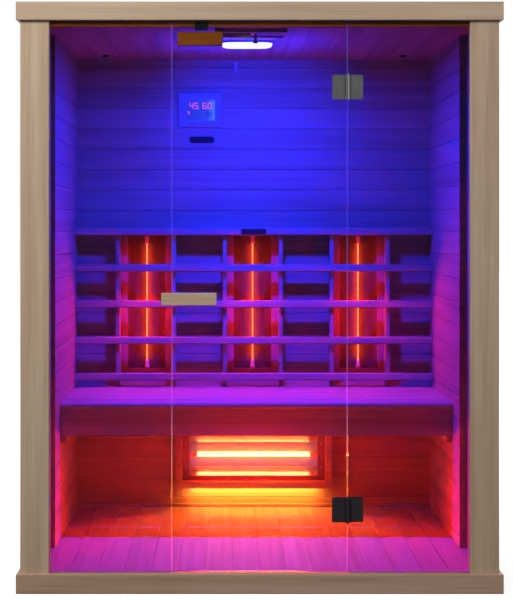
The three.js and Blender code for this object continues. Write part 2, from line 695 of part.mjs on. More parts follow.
// The bench: ledgers on the side linings, a rear rail with bearers, a fascia and the slats
function bench() {
  const group = new THREE.Group();
  const slatWidth = (BENCH_DEPTH - (BENCH_SLATS - 1) * BENCH_SLAT_GAP) / BENCH_SLATS;
  const reach = LINING_X - FITTING_GAP;
  for (let index = 0; index < BENCH_SLATS; index += 1) {
    const front = BENCH_FRONT + index * (slatWidth + BENCH_SLAT_GAP);
    const round = index === 0 ? BENCH_NOSING : BENCH_SLAT_ROUNDING;
    const slat = bar(BENCH_SLAT_THICKNESS, slatWidth, round, front, BENCH_BED_Z, [-reach, reach]);
    add(group, `bench_slat_${index + 1}`, slat, INSIDE_WOOD);
  }
  const fasciaFront = BENCH_FRONT + FASCIA_SETBACK;
  const fasciaBase = BENCH_BED_Z - FASCIA_HEIGHT;
  const fascia = bar(FASCIA_HEIGHT, FASCIA_THICKNESS, ARRIS, fasciaFront, fasciaBase, [-reach, reach]);
  add(group, 'bench_fascia', fascia, INSIDE_WOOD);
  for (const [name, side] of SIDES) {
    const ledgerZ = [BENCH_BED_Z - LEDGER_HEIGHT, BENCH_BED_Z];
    const ledger = block(mirrored(side, LEDGER_X, LINING_X), [FASCIA_BACK, BENCH_BACK], ledgerZ);
    add(group, `bench_ledger_${name}`, ledger, INSIDE_WOOD);
  }
  const railFront = BENCH_BACK - REAR_RAIL_WIDTH;
  const railZ = [BENCH_BED_Z - REAR_RAIL_HEIGHT, BENCH_BED_Z];
  const pieces = [block([-LEDGER_X, LEDGER_X], [railFront, BENCH_BACK], railZ)];
  for (const [, side] of SIDES) {
    const middle = side * BEARER_SPACING / 2;
    pieces.push(block(
      [middle - BEARER_WIDTH / 2, middle + BEARER_WIDTH / 2],
      [FASCIA_BACK, railFront + REAR_RAIL_WIDTH / 2],
      [BENCH_BED_Z - BEARER_HEIGHT, BENCH_BED_Z],
    ));
  }
  add(group, 'bench_frame', join(...pieces), INSIDE_WOOD);
  return group;
}

// The backrest: full-width slats on three pairs of battens that stand beside the heaters, and a
// cap on the top slat that closes the space behind it
function backrest() {
  const group = new THREE.Group();
  const reach = LINING_X - FITTING_GAP;
  const slatBack = BACKREST_Y + BACKREST_SLAT_THICKNESS;
  const slatBase = (row) => BACKREST_BASE + row * BACKREST_PITCH;
  const capZ = [BACKREST_TOP - BACKREST_CAP, BACKREST_TOP];
  const cap = block([-reach, reach], [BACKREST_Y + BACKREST_SLAT_THICKNESS / 2, LINING_Y], capZ);
  for (let row = 0; row < BACKREST_SLATS; row += 1) {
    const base = slatBase(row);
    const section = [BACKREST_SLAT_HEIGHT, BACKREST_SLAT_THICKNESS, BACKREST_ROUNDING];
    const slat = bar(...section, BACKREST_Y, base, [-reach, reach]);
    const isTop = row === BACKREST_SLATS - 1;
    add(group, `backrest_slat_${row + 1}`, isTop ? join(slat, cap) : slat, INSIDE_WOOD);
  }
  const inner = HEATER_WIDTH / 2 + HEATER_FLANGE + BATTEN_TO_FLANGE;
  const outer = inner + BATTEN_WIDTH;
  for (let index = 0; index < HEATER_COUNT; index += 1) {
    const centre = heaterCentre(index);
    const pieces = SIDES.map(([, side]) => {
      const [low, high] = mirrored(side, inner, outer);
      return block([centre + low, centre + high], [slatBack, LINING_Y], [BENCH_Z, capZ[0]]);
    });
    for (const row of [0, BACKREST_SLATS - 1]) {
      const railX = [centre - outer + BATTEN_WIDTH / 2, centre + outer - BATTEN_WIDTH / 2];
      const railZ = [slatBase(row), slatBase(row) + BACKREST_SLAT_HEIGHT - BACKREST_CAP];
      pieces.push(block(railX, [slatBack, slatBack + CROSS_RAIL_DEPTH], railZ));
    }
    add(group, `backrest_frame_${index + 1}`, join(...pieces), INSIDE_WOOD);
  }
  return group;
}

// A heater lies along local Z with its mouth towards -Y: a flanged trough of polished sheet
function reflector(width, length, sideFlange, endFlange) {
  const floorWidth = width - 2 * REFLECTOR_TAPER;
  const trough = (spare, front) => {
    const mouth = width / 2 + spare;
    const floor = floorWidth / 2 + spare;
    const section = polygon([
      [-mouth, front],
      [mouth, front],
      [mouth, 0],
      [floor, REFLECTOR_DEPTH + spare],
      [-floor, REFLECTOR_DEPTH + spare],
      [-mouth, 0],
    ]);
    return extrude(section, length + 2 * spare, [0, 0, -length / 2 - spare], X, Y);
  };
  const rim = roundedRectangle(width + 2 * sideFlange, length + 2 * endFlange, SURROUND_ROUNDING);
  const plate = extrude(rim, FLANGE_THICKNESS, [0, 0, 0], X, Z);
  return cut(join(plate, trough(REFLECTOR_WALL, -FLANGE_THICKNESS / 2)), trough(0, -CUT_THROUGH));
}

// The quartz tube with a stepped ceramic holder at each end
function tube(length) {
  const half = length / 2 - FITTING_GAP;
  const collar = half - TUBE_END_STEP;
  const clear = half - TUBE_END_LENGTH;
  const glass = TUBE_DIAMETER / 2;
  const holder = TUBE_END_DIAMETER / 2;
  const pinch = (glass + holder) / 2;
  return turned([
    [0, -half],
    [holder, -half],
    [holder, -collar],
    [pinch, -collar],
    [pinch, -clear],
    [glass, -clear],
    [glass, clear],
    [pinch, clear],
    [pinch, collar],
    [holder, collar],
    [holder, half],
    [0, half],
  ]);
}

function heaters() {
  const group = new THREE.Group();
  for (let index = 0; index < HEATER_COUNT; index += 1) {
    const heater = new THREE.Group();
    const name = `heater_${index + 1}`;
    const housing = reflector(HEATER_WIDTH, HEATER_LENGTH, HEATER_FLANGE, HEATER_FLANGE);
    add(heater, `${name}_reflector`, housing, MIRROR_STEEL);
    add(heater, `${name}_tube`, tube(HEATER_LENGTH).translate(0, TUBE_DEPTH, 0), QUARTZ);
    heater.position.set(heaterCentre(index), LINING_Y, HEATER_Z);
    group.add(heater);
  }
  const calf = new THREE.Group();
  const lying = reflector(CALF_WIDTH, CALF_LENGTH, CALF_SIDE_FLANGE, CALF_END_FLANGE);
  const trough = lying.rotateY(Math.PI / 2);
  add(calf, 'calf_heater_reflector', trough, MIRROR_STEEL);
  const calfTube = tube(CALF_LENGTH).rotateY(Math.PI / 2).translate(0, TUBE_DEPTH, 0);
  add(calf, 'calf_heater_tube', calfTube, QUARTZ);
  const innerWidth = CALF_LENGTH + 2 * (CALF_END_FLANGE + FITTING_GAP);
  const innerHeight = CALF_WIDTH + 2 * (CALF_SIDE_FLANGE + FITTING_GAP);
  const rim = roundedRectangle(
    innerWidth + 2 * CALF_SURROUND_RAIL,
    innerHeight + 2 * CALF_SURROUND_RAIL,
    SURROUND_ROUNDING,
  );
  const surround = cut(
    extrude(rim, CALF_SURROUND_DEPTH, [0, 0, 0], X, Z),
    block(
      [-innerWidth / 2, innerWidth / 2],
      [-CALF_SURROUND_DEPTH - CUT_THROUGH, CUT_THROUGH],
      [-innerHeight / 2, innerHeight / 2],
    ),
  );
  add(calf, 'calf_heater_surround', surround, INSIDE_WOOD);
  calf.position.set(0, LINING_Y, CALF_Z);
  group.add(calf);
  return group;
}

// The control panel let into the back lining, its screen and the air temperature probe
function controls() {
  const group = new THREE.Group();
  const bevel = {
    bevelEnabled: true,
    bevelThickness: PANEL_BEVEL,
    bevelSize: PANEL_BEVEL,
    bevelSegments: 2,
  };
  const bezel = roundedRectangle(
    PANEL_WIDTH - 2 * PANEL_BEVEL,
    PANEL_HEIGHT - 2 * PANEL_BEVEL,
    PANEL_ROUNDING - PANEL_BEVEL,
  );
  const thickness = PANEL_PROUD - 2 * PANEL_BEVEL;
  const origin = [PANEL_OFFSET, LINING_Y - PANEL_BEVEL, PANEL_Z];
  const plate = extrude(bezel, thickness, origin, X, Z, bevel);
  const boxX = PANEL_WIDTH / 2 - PANEL_BOX_INSET;
  const boxZ = PANEL_HEIGHT / 2 - PANEL_BOX_INSET;
  const box = block(
    [PANEL_OFFSET - boxX, PANEL_OFFSET + boxX],
    [LINING_Y - PANEL_PROUD / 2, LINING_Y + PANEL_BOX_DEPTH],
    [PANEL_Z - boxZ, PANEL_Z + boxZ],
  );
  const screen = (spare, front) => block(
    [PANEL_OFFSET - SCREEN_WIDTH / 2 - spare, PANEL_OFFSET + SCREEN_WIDTH / 2 + spare],
    [front, LINING_Y - PANEL_PROUD + SCREEN_THICKNESS],
    [PANEL_Z - SCREEN_HEIGHT / 2 - spare, PANEL_Z + SCREEN_HEIGHT / 2 + spare],
  );
  const seat = screen(FITTING_GAP, LINING_Y - PANEL_PROUD - CUT_THROUGH);
  add(group, 'control_panel', cut(join(plate, box), seat), DARK_PLASTIC);
  add(group, 'control_screen', screen(0, LINING_Y - PANEL_PROUD), SCREEN_GLASS);

  const radius = PROBE_DIAMETER / 2;
  const probeY = LINING_Y - PROBE_STANDOFF - radius;
  const probeTop = CEILING_Z - PROBE_DROP;
  const stem = upright(PROBE_DIAMETER, PROBE_LENGTH, PROBE_OFFSET, probeY, probeTop - PROBE_LENGTH);
  const clip = block(
    [PROBE_OFFSET - radius / 2, PROBE_OFFSET + radius / 2],
    [probeY, LINING_Y],
    [probeTop - PROBE_LENGTH / 2, probeTop - PROBE_LENGTH / 4],
  );
  add(group, 'temperature_probe', join(stem, clip), BRIGHT_STEEL);
  return group;
}

// The coloured-light lamp: a base plate on the ceiling and an opal dome under it
function lamp() {
  const group = new THREE.Group();
  const y = LINING_Y - LAMP_FROM_LINING;
  const towardsFront = Y.clone().negate();
  const plate = roundedRectangle(LAMP_WIDTH, LAMP_DEPTH, LAMP_CORNER);
  const base = extrude(plate, LAMP_BASE_HEIGHT, [LAMP_OFFSET, y, CEILING_Z], X, towardsFront);
  add(group, 'lamp_base', base, GREY_PLASTIC);
  const inset = 2 * (LAMP_DOME_INSET + LAMP_DOME_HEIGHT);
  const rim = roundedRectangle(LAMP_WIDTH - inset, LAMP_DEPTH - inset, LAMP_CORNER - inset / 2);
  const bevel = {
    bevelEnabled: true,
    bevelThickness: LAMP_DOME_HEIGHT,
    bevelSize: LAMP_DOME_HEIGHT,
    bevelSegments: CORNER_STEPS,
  };
  const domeTop = CEILING_Z - LAMP_BASE_HEIGHT;
  const pebbleTop = domeTop + 2 * LAMP_DOME_HEIGHT;
  const pebble = extrude(rim, pebbleTop - domeTop, [LAMP_OFFSET, y, pebbleTop], X, towardsFront, bevel);
  const trim = block(
    [LAMP_OFFSET - LAMP_WIDTH, LAMP_OFFSET + LAMP_WIDTH],
    [y - LAMP_DEPTH, y + LAMP_DEPTH],
    [domeTop, pebbleTop + 2 * LAMP_DOME_HEIGHT],
  );
  add(group, 'lamp_diffuser', cut(pebble, trim), OPAL);
  return group;
}

// The vent: a grooved frame under the ceiling hole and the shutter that slides in it
function vent() {
  const group = new THREE.Group();
  const shutterWidth = VENT_HOLE_WIDTH + 2 * SHUTTER_LAP;
  const windowLow = VENT_HOLE_X - VENT_HOLE_WIDTH / 2 - SHUTTER_LAP - RUNNING_GAP;
  const windowHigh = windowLow + 2 * shutterWidth + 2 * RUNNING_GAP;
  const windowY = VENT_HOLE_DEPTH / 2 + VENT_GROOVE;
  const outerY = windowY + VENT_RAIL;
  const frameZ = CEILING_Z - VENT_FRAME_HEIGHT;
  const shutterZ = CEILING_Z - (VENT_FRAME_HEIGHT + SHUTTER_THICKNESS) / 2;
  const grooveY = windowY + VENT_GROOVE;
  const frame = block(
    [windowLow - VENT_END, windowHigh + VENT_END],
    [VENT_Y - outerY, VENT_Y + outerY],
    [frameZ, CEILING_Z],
  );
  const window = block(
    [windowLow, windowHigh],
    [VENT_Y - windowY, VENT_Y + windowY],
    [frameZ - CUT_THROUGH, CEILING_Z + CUT_THROUGH],
  );
  const groove = block(
    [windowLow, windowHigh],
    [VENT_Y - grooveY, VENT_Y + grooveY],
    [shutterZ - FITTING_GAP, shutterZ + SHUTTER_THICKNESS + FITTING_GAP],
  );
  add(group, 'vent_frame', cut(frame, window, groove), INSIDE_WOOD);

  const shutterLow = windowHigh - RUNNING_GAP - shutterWidth;
  const shutterY = grooveY - RUNNING_GAP;
  const plate = block(
    [shutterLow, shutterLow + shutterWidth],
    [VENT_Y - shutterY, VENT_Y + shutterY],
    [shutterZ, shutterZ + SHUTTER_THICKNESS],
  );
  const knobX = shutterLow + SHUTTER_KNOB_INSET;
  const knobBase = shutterZ - SHUTTER_KNOB_LENGTH;
  const knobLength = SHUTTER_KNOB_LENGTH + SHUTTER_THICKNESS / 2;
  const knob = upright(SHUTTER_KNOB, knobLength, knobX, VENT_Y, knobBase);
  const ball = upright(2 * SHUTTER_KNOB, SHUTTER_KNOB, knobX, VENT_Y, knobBase);
  add(group, 'vent_shutter', join(plate, knob, ball), INSIDE_WOOD);
  return group;
}

cabin.add(floorPanel(), roofPanel(), walls(), glassFront(), door());
cabin.add(hinge('upper_hinge', DOOR_TOP - UPPER_HINGE_DROP, BRIGHT_STEEL));
cabin.add(hinge('lower_hinge', DOOR_BOTTOM + LOWER_HINGE_RISE, DARK_STEEL));
cabin.add(bench(), backrest(), heaters(), controls(), lamp(), vent());

export default cabin;
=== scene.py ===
"""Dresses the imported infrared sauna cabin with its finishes, small fittings, light and camera."""

import math

import bmesh
import bpy
from mathutils import Matrix, Vector


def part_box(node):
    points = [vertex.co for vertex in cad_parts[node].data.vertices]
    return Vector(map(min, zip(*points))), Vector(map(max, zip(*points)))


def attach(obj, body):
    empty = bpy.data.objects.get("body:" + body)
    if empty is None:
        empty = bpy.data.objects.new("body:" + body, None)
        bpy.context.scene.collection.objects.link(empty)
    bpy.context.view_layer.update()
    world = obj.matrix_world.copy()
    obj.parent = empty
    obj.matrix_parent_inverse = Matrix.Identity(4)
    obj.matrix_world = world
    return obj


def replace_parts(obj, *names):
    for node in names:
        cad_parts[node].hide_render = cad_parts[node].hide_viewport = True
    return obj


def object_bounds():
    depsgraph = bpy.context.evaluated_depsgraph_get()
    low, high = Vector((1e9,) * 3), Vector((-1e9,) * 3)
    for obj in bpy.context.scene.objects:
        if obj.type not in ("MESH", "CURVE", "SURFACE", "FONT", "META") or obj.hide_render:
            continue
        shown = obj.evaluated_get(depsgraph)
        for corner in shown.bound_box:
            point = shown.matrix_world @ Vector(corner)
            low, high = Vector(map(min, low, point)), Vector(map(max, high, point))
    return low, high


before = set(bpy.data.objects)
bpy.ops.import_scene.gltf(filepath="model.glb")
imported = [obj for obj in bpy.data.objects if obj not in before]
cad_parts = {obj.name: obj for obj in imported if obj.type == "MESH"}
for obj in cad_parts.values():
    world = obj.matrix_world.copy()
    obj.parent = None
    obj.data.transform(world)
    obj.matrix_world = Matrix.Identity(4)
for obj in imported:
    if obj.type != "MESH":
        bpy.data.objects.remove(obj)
CAD_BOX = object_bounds()

X, Y, Z = 0, 1, 2


def numbered(pattern, count):
    return [pattern.format(index + 1) for index in range(count)]


HEATERS = numbered("heater_{}", 3)


# Camera, in the photograph's frame

PHOTO_WIDTH = 513
PHOTO_HEIGHT = 600
VANISHING_POINT = (228, 225)
EYE = (-0.1018, -4.907, 1.1833)
LENS = 81.34
SENSOR = 36


def set_camera():
    data = bpy.data.cameras.new("camera")
    data.sensor_width = SENSOR
    data.lens = LENS
    data.shift_x = (PHOTO_WIDTH / 2 - VANISHING_POINT[0]) / PHOTO_HEIGHT
    data.shift_y = (VANISHING_POINT[1] - PHOTO_HEIGHT / 2) / PHOTO_HEIGHT
    camera = bpy.data.objects.new("camera", data)
    camera.location = EYE
    camera.rotation_euler = (math.pi / 2, 0, 0)
    bpy.context.scene.collection.objects.link(camera)
    bpy.context.scene.camera = camera


# Shader expressions


class Value:
    """A socket that takes part in Python sums, each of which adds its Math node."""

    def __init__(self, finish, socket):
        self.finish = finish
        self.socket = socket

    def maths(self, operation, first, second=0.0):
        return self.finish.node("ShaderNodeMath", {"operation": operation}, {0: first, 1: second})

    def __add__(self, other):
        return self.maths("ADD", self, other)

    def __radd__(self, other):
        return self.maths("ADD", other, self)

    def __sub__(self, other):
        return self.maths("SUBTRACT", self, other)

    def __rsub__(self, other):
        return self.maths("SUBTRACT", other, self)

    def __mul__(self, other):
        return self.maths("MULTIPLY", self, other)

    def __rmul__(self, other):
        return self.maths("MULTIPLY", other, self)

    def __truediv__(self, other):
        return self.maths("DIVIDE", self, other)

    def __rtruediv__(self, other):
        return self.maths("DIVIDE", other, self)

    def __lt__(self, other):
        return self.maths("LESS_THAN", self, other)

    def __gt__(self, other):
        return self.maths("GREATER_THAN", self, other)

    def __abs__(self):
        return self.maths("ABSOLUTE", self)

    def __floor__(self):
        return self.maths("FLOOR", self)


def larger(first, second):
    return first.maths("MAXIMUM", first, second)


class Finish:
    """A node tree, of a material or the world, that grows one node a call."""

    def __init__(self, owner):
        owner.use_nodes = True
        self.owner = owner
        self.tree = owner.node_tree
        self.tree.nodes.clear()

    def node(self, kind, settings, inputs, output=0):
        made = self.tree.nodes.new(kind)
        for name, value in settings.items():
            if name == "stops":
                set_stops(made.color_ramp, value)
            else:
                setattr(made, name, value)
        for key, value in inputs.items():
            if isinstance(value, Value):
                self.tree.links.new(value.socket, made.inputs[key])
            else:
                made.inputs[key].default_value = value
        return Value(self, made.outputs[output]) if made.outputs else None

    def place(self):
        return self.node("ShaderNodeTexCoord", {}, {}, "Object")

    def ray(self, name):
        return self.node("ShaderNodeLightPath", {}, {}, name)

    def axes(self, vector):
        return [self.node("ShaderNodeSeparateXYZ", {}, {0: vector}, axis) for axis in (X, Y, Z)]

    def stretch(self, vector, scale):
        return self.node("ShaderNodeVectorMath", {"operation": "MULTIPLY"}, {0: vector, 1: scale})

    def shift(self, vector, offset):
        return self.node("ShaderNodeVectorMath", {"operation": "ADD"}, {0: vector, 1: offset})

    def noise(self, vector, detail, scale=1.0):
        return self.node("ShaderNodeTexNoise", {}, {"Vector": vector, "Scale": scale, "Detail": detail})

    def ramp(self, amount, *stops):
        return self.node("ShaderNodeValToRGB", {"stops": stops}, {0: amount})

    def mix(self, amount, first, second, blend="MIX"):
        settings = {"data_type": "RGBA", "blend_type": blend}
        return self.node("ShaderNodeMix", settings, {0: amount, 6: first, 7: second}, 2)

    def bump(self, height, strength, distance):
        sockets = {"Height": height, "Strength": strength, "Distance": distance}
        return self.node("ShaderNodeBump", {}, sockets)

    def surface(self, **inputs):
        named = {name.replace("_", " "): value for name, value in inputs.items()}
        shader = self.node("ShaderNodeBsdfPrincipled", {}, named)
        self.node("ShaderNodeOutputMaterial", {}, {"Surface": shader})
        return self.owner


def set_stops(ramp, stops):
    while len(ramp.elements) < len(stops):
        ramp.elements.new(1.0)
    for element, (position, colour) in zip(ramp.elements, stops):
        element.position = position
        element.color = colour


def new_finish(name):
    return Finish(bpy.data.materials.new(name))


def srgb(red, green, blue):
    """A colour written as it is seen, 0 to 255, as the linear colour that a socket takes."""
    def linear(level):
        share = level / 255
        return share / 12.92 if share <= 0.04045 else ((share + 0.055) / 1.055) ** 2.4
    return (linear(red), linear(green), linear(blue), 1.0)


def grey(level):
    return (level, level, level, 1.0)


def dimmed(colour, share):
    return tuple(share * level for level in colour[:3]) + (1.0,)


# Wood finishes: fibres along the board, rings across it, and a tone of its own for each board

OUTSIDE_TONES = (srgb(178, 149, 122), srgb(202, 174, 147), srgb(214, 189, 163))
# Painted shade: the plinth's tones are darker and browner than the other outside wood, where the light
# falls off towards the floor.
SHADED_PLINTH_TONES = (srgb(170, 136, 112), srgb(193, 158, 134), srgb(205, 172, 150))
HONEY_TONES = (srgb(168, 84, 14), srgb(206, 108, 20), srgb(222, 126, 30))
INSIDE_TONES = (srgb(172, 130, 96), srgb(196, 154, 116), srgb(208, 168, 130))
FIBRE_ACROSS = 260.0
FIBRE_ALONG = 5.0
FIBRE_SHARE = 0.4
RING_ACROSS = 34.0
RING_ALONG = 1.1
RING_SHARE = 0.6
BOARD_STRIDE = (3.7, 5.3, 7.9)
BOARD_TINT = 0.12
MITRE_SEAM = 0.0012
MITRE_TINT = 0.7


def along_axis(axis, along, across):
    return tuple(along if index == axis else across for index in (X, Y, Z))


def grain(finish, spot, axis):
    """How light the wood is, and how high its fibres stand, for boards that lie along an axis."""
    fibre_scale = along_axis(axis, FIBRE_ALONG, FIBRE_ACROSS)
    ring_scale = along_axis(axis, RING_ALONG, RING_ACROSS)
    fibres = finish.noise(finish.stretch(spot, fibre_scale), detail=4.0)
    rings = finish.noise(finish.stretch(spot, ring_scale), detail=2.0)
    return rings * RING_SHARE + fibres * FIBRE_SHARE, fibres


def board_number(finish, place, boards):
    axis, pitch, start = boards
    return math.floor((finish.axes(place)[axis] - start) / pitch)


def finish_wood(finish, light, fibres, tones, tint):
    dark, middle, pale = tones
    colour = finish.ramp(light, (0.3, dark), (0.5, middle), (0.68, pale))
    return finish.surface(
        Base_Color=finish.mix(tint, colour, dark, "MULTIPLY"),
        Roughness=0.42 + fibres * 0.22,
        Normal=finish.bump(fibres, strength=0.12, distance=0.0006),
    )


def wood(name, tones, axis, boards=None, shade_within=None):
    """Boards along an axis; within the given distance of the middle the face takes the dark tone as
    painted shade.
    """
    finish = new_finish(name)
    place = finish.place()
    spot, tint = place, 0.0
    if boards:
        number = board_number(finish, place, boards)
        spread = finish.node("ShaderNodeCombineXYZ", {}, {index: number for index in (X, Y, Z)})
        spot = finish.shift(place, finish.stretch(spread, BOARD_STRIDE))
        chance = finish.node("ShaderNodeTexWhiteNoise", {"noise_dimensions": "1D"}, {"W": number})
        tint = chance * BOARD_TINT
    # Painted shade: faces within that distance of the middle, the side walls' inner faces, are
    # multiplied by the dark tone.
    if shade_within:
        tint = larger(abs(finish.axes(place)[X]) < shade_within, tint)
    light, fibres = grain(finish, spot, axis)
    return finish_wood(finish, light, fibres, tones, tint)


def mitred_wood(name, tones, box):
    """A frame of four rails: the grain follows each rail up to the mitre."""
    finish = new_finish(name)
    place = finish.place()
    x, y, _ = finish.axes(place)
    to_side = box[1].x - abs(x)
    to_end = box[1].y - abs(y)
    on_side = to_side < to_end
    lying, lying_fibres = grain(finish, place, X)
    running, running_fibres = grain(finish, place, Y)
    light = on_side * running + (1 - on_side) * lying
    fibres = on_side * running_fibres + (1 - on_side) * lying_fibres
    seam = abs(to_side - to_end) < MITRE_SEAM
    return finish_wood(finish, light, fibres, tones, seam * MITRE_TINT)


# Other finishes

RIM_DEPTH = 0.002


def glass_finish():
    finish = new_finish("clear_glass")
    smears = finish.noise(finish.stretch(finish.place(), (2.0, 2.0, 5.0)), detail=4.0)
    return finish.surface(
        Base_Color=srgb(244, 252, 249),
        Roughness=(smears > 0.56) * 0.003,
        Transmission_Weight=1.0,
        IOR=1.46,
    )


def steel_finish(name, colour, roughness, axis, metallic=1.0):
    finish = new_finish(name)
    brushing = along_axis(axis, along=25.0, across=2600.0)
    brushed = finish.noise(finish.stretch(finish.place(), brushing), detail=2.0)
    worn = finish.noise(finish.place(), scale=55.0, detail=4.0)
    return finish.surface(
        Base_Color=finish.mix(worn * 0.35, colour, srgb(70, 70, 74)),
        Metallic=metallic,
        Roughness=roughness + brushed * 0.16,
        Normal=finish.bump(brushed, strength=0.08, distance=0.0002),
    )


def reflector_finish(name, node, pale, dull, rim, metallic):
    """Bright sheet in the trough and a duller rim, which is what lies at the front."""
    finish = new_finish(name)
    place = finish.place()
    front = finish.axes(place)[Y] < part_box(node)[0].y + RIM_DEPTH
    waves = finish.noise(place, scale=24.0, detail=1.0)
    bloom = finish.noise(place, scale=140.0, detail=5.0)
    return finish.surface(
        Base_Color=finish.mix(front, finish.mix(bloom * 0.3, pale, dull), rim),
        Metallic=metallic - front * (metallic * 0.7),
        Roughness=0.16 + bloom * 0.14 + front * 0.2,
        Normal=finish.bump(waves, strength=0.12, distance=0.004),
    )


def quartz_finish():
    finish = new_finish("clear_quartz")
    haze = finish.noise(finish.place(), scale=120.0, detail=3.0)
    return finish.surface(
        Base_Color=srgb(255, 236, 222),
        Roughness=0.02 + haze * 0.05,
        Transmission_Weight=1.0,
        IOR=1.2,
    )


def ceramic_finish():
    finish = new_finish("heater_ceramic")
    glaze = finish.noise(finish.place(), scale=300.0, detail=3.0)
    return finish.surface(
        Base_Color=finish.mix(glaze * 0.5, srgb(206, 188, 170), srgb(160, 140, 124)),
        Roughness=0.35 + glaze * 0.2,
        Normal=finish.bump(glaze, strength=0.1, distance=0.0004),
    )


def coil_finish(name, colour, cooler, strength):
    """Glowing wire, a little cooler in places."""
    finish = new_finish(name)
    flicker = finish.noise(finish.place(), scale=40.0, detail=2.0)
    return finish.surface(
        Base_Color=srgb(60, 30, 20),
        Roughness=0.6,
        Emission_Color=finish.mix(flicker * 0.5, colour, cooler),
        Emission_Strength=strength,
    )


def moulded_finish(name, colour, roughness):
    finish = new_finish(name)
    pores = finish.noise(finish.place(), scale=900.0, detail=2.0)
    cloud = finish.noise(finish.place(), scale=18.0, detail=3.0)
    return finish.surface(
        Base_Color=finish.mix(cloud * 0.5, colour, dimmed(colour, 0.7)),
        Roughness=roughness + pores * 0.12,
        Normal=finish.bump(pores, strength=0.15, distance=0.0003),
    )


def screen_finish():
    """A dusty dark screen, lit from behind and brightest at its right end."""
    finish = new_finish("control_screen")
    place = finish.place()
    low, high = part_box("control_screen")
    across = (finish.axes(place)[X] - low.x) / (high.x - low.x)
    dust = finish.noise(place, scale=700.0, detail=4.0)
    deep, middle, bright = srgb(48, 58, 250), srgb(52, 76, 255), srgb(84, 140, 255)
    backlight = finish.ramp(across, (0.2, deep), (0.75, middle), (1.0, bright))
    return finish.surface(
        Base_Color=srgb(14, 16, 30),
        Roughness=0.08 + (dust > 0.62) * 0.14,
        Emission_Color=finish.mix(dust * 0.2, backlight, srgb(30, 40, 200)),
        Emission_Strength=0.9,
    )


def glow_finish(name, colour, strength):
    finish = new_finish(name)
    cells = finish.noise(finish.place(), scale=400.0, detail=2.0)
    return finish.surface(
        Base_Color=srgb(30, 20, 24),
        Roughness=0.3,
        Emission_Color=finish.mix(cells * 0.4, colour, dimmed(colour, 0.8)),
        Emission_Strength=strength,
    )


def opal_finish():
    finish = new_finish("opal_lamp")
    ripple = finish.noise(finish.place(), scale=60.0, detail=2.0)
    return finish.surface(
        Base_Color=srgb(236, 238, 255),
        Roughness=0.35,
        Emission_Color=finish.mix(ripple * 0.2, srgb(226, 232, 255), srgb(180, 196, 255)),
        Emission_Strength=1.6,
    )


# The finishes go onto the solids

# The axis across the boards, their pitch and where one of them starts
BOARDS = {
    "floor": (X, 0.088, 0.0),
    "ceiling": (X, 0.088, 0.0),
    "lining": (Z, 0.0814, 0.1007),
    "side": (Y, 0.092, 0.02),
    "back": (X, 0.092, 0.0),
}
# How far past the side walls' inner face the painted shade reaches.
SHADE_DEPTH = 0.002


def paint(finish, *names):
    for name in names:
        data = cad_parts[name].data
        data.materials.clear()
        data.materials.append(finish)


def paint_outside():
    paint(mitred_wood("shaded_plinth_wood", SHADED_PLINTH_TONES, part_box("plinth_frame")), "plinth_frame")
    paint(mitred_wood("cornice_wood", OUTSIDE_TONES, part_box("cornice_frame")), "cornice_frame")
    paint(wood("roof_board", OUTSIDE_TONES, X), "roof_cover")
    paint(wood("post_wood", OUTSIDE_TONES, Z), "left_post", "right_post")
    # The side walls' inner faces are darkened all over: painted shade.
    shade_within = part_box("right_wall")[0].x + SHADE_DEPTH
    side = wood("side_boards", OUTSIDE_TONES, Z, BOARDS["side"], shade_within)
    paint(side, "left_wall", "right_wall")
    paint(wood("back_boards", OUTSIDE_TONES, Z, BOARDS["back"]), "back_wall")
    paint(wood("handle_wood", OUTSIDE_TONES, X), "handle_outer")


def paint_inside():
    paint(wood("floor_boards", INSIDE_TONES, Y, BOARDS["floor"]), "floor_deck")
    paint(wood("ceiling_boards", INSIDE_TONES, Y, BOARDS["ceiling"]), "ceiling_panel")
    side_lining = wood("side_lining_boards", INSIDE_TONES, Y, BOARDS["lining"])
    paint(side_lining, "left_lining", "right_lining")
    paint(wood("back_lining_boards", INSIDE_TONES, X, BOARDS["lining"]), "back_lining")
    lying = wood("bench_wood", INSIDE_TONES, X)
    paint(lying, "handle_inner", "bench_fascia", "vent_frame", "vent_shutter")
    paint(wood("oiled_wood", HONEY_TONES, X), "catch_block", "header_rail")
    paint(lying, "calf_heater_surround")
    paint(lying, *numbered("bench_slat_{}", 4), *numbered("backrest_slat_{}", 5))
    ledger = wood("ledger_wood", INSIDE_TONES, Y)
    paint(ledger, "bench_ledger_left", "bench_ledger_right", "bench_frame")
    paint(wood("batten_wood", INSIDE_TONES, Z), *numbered("backrest_frame_{}", 3))


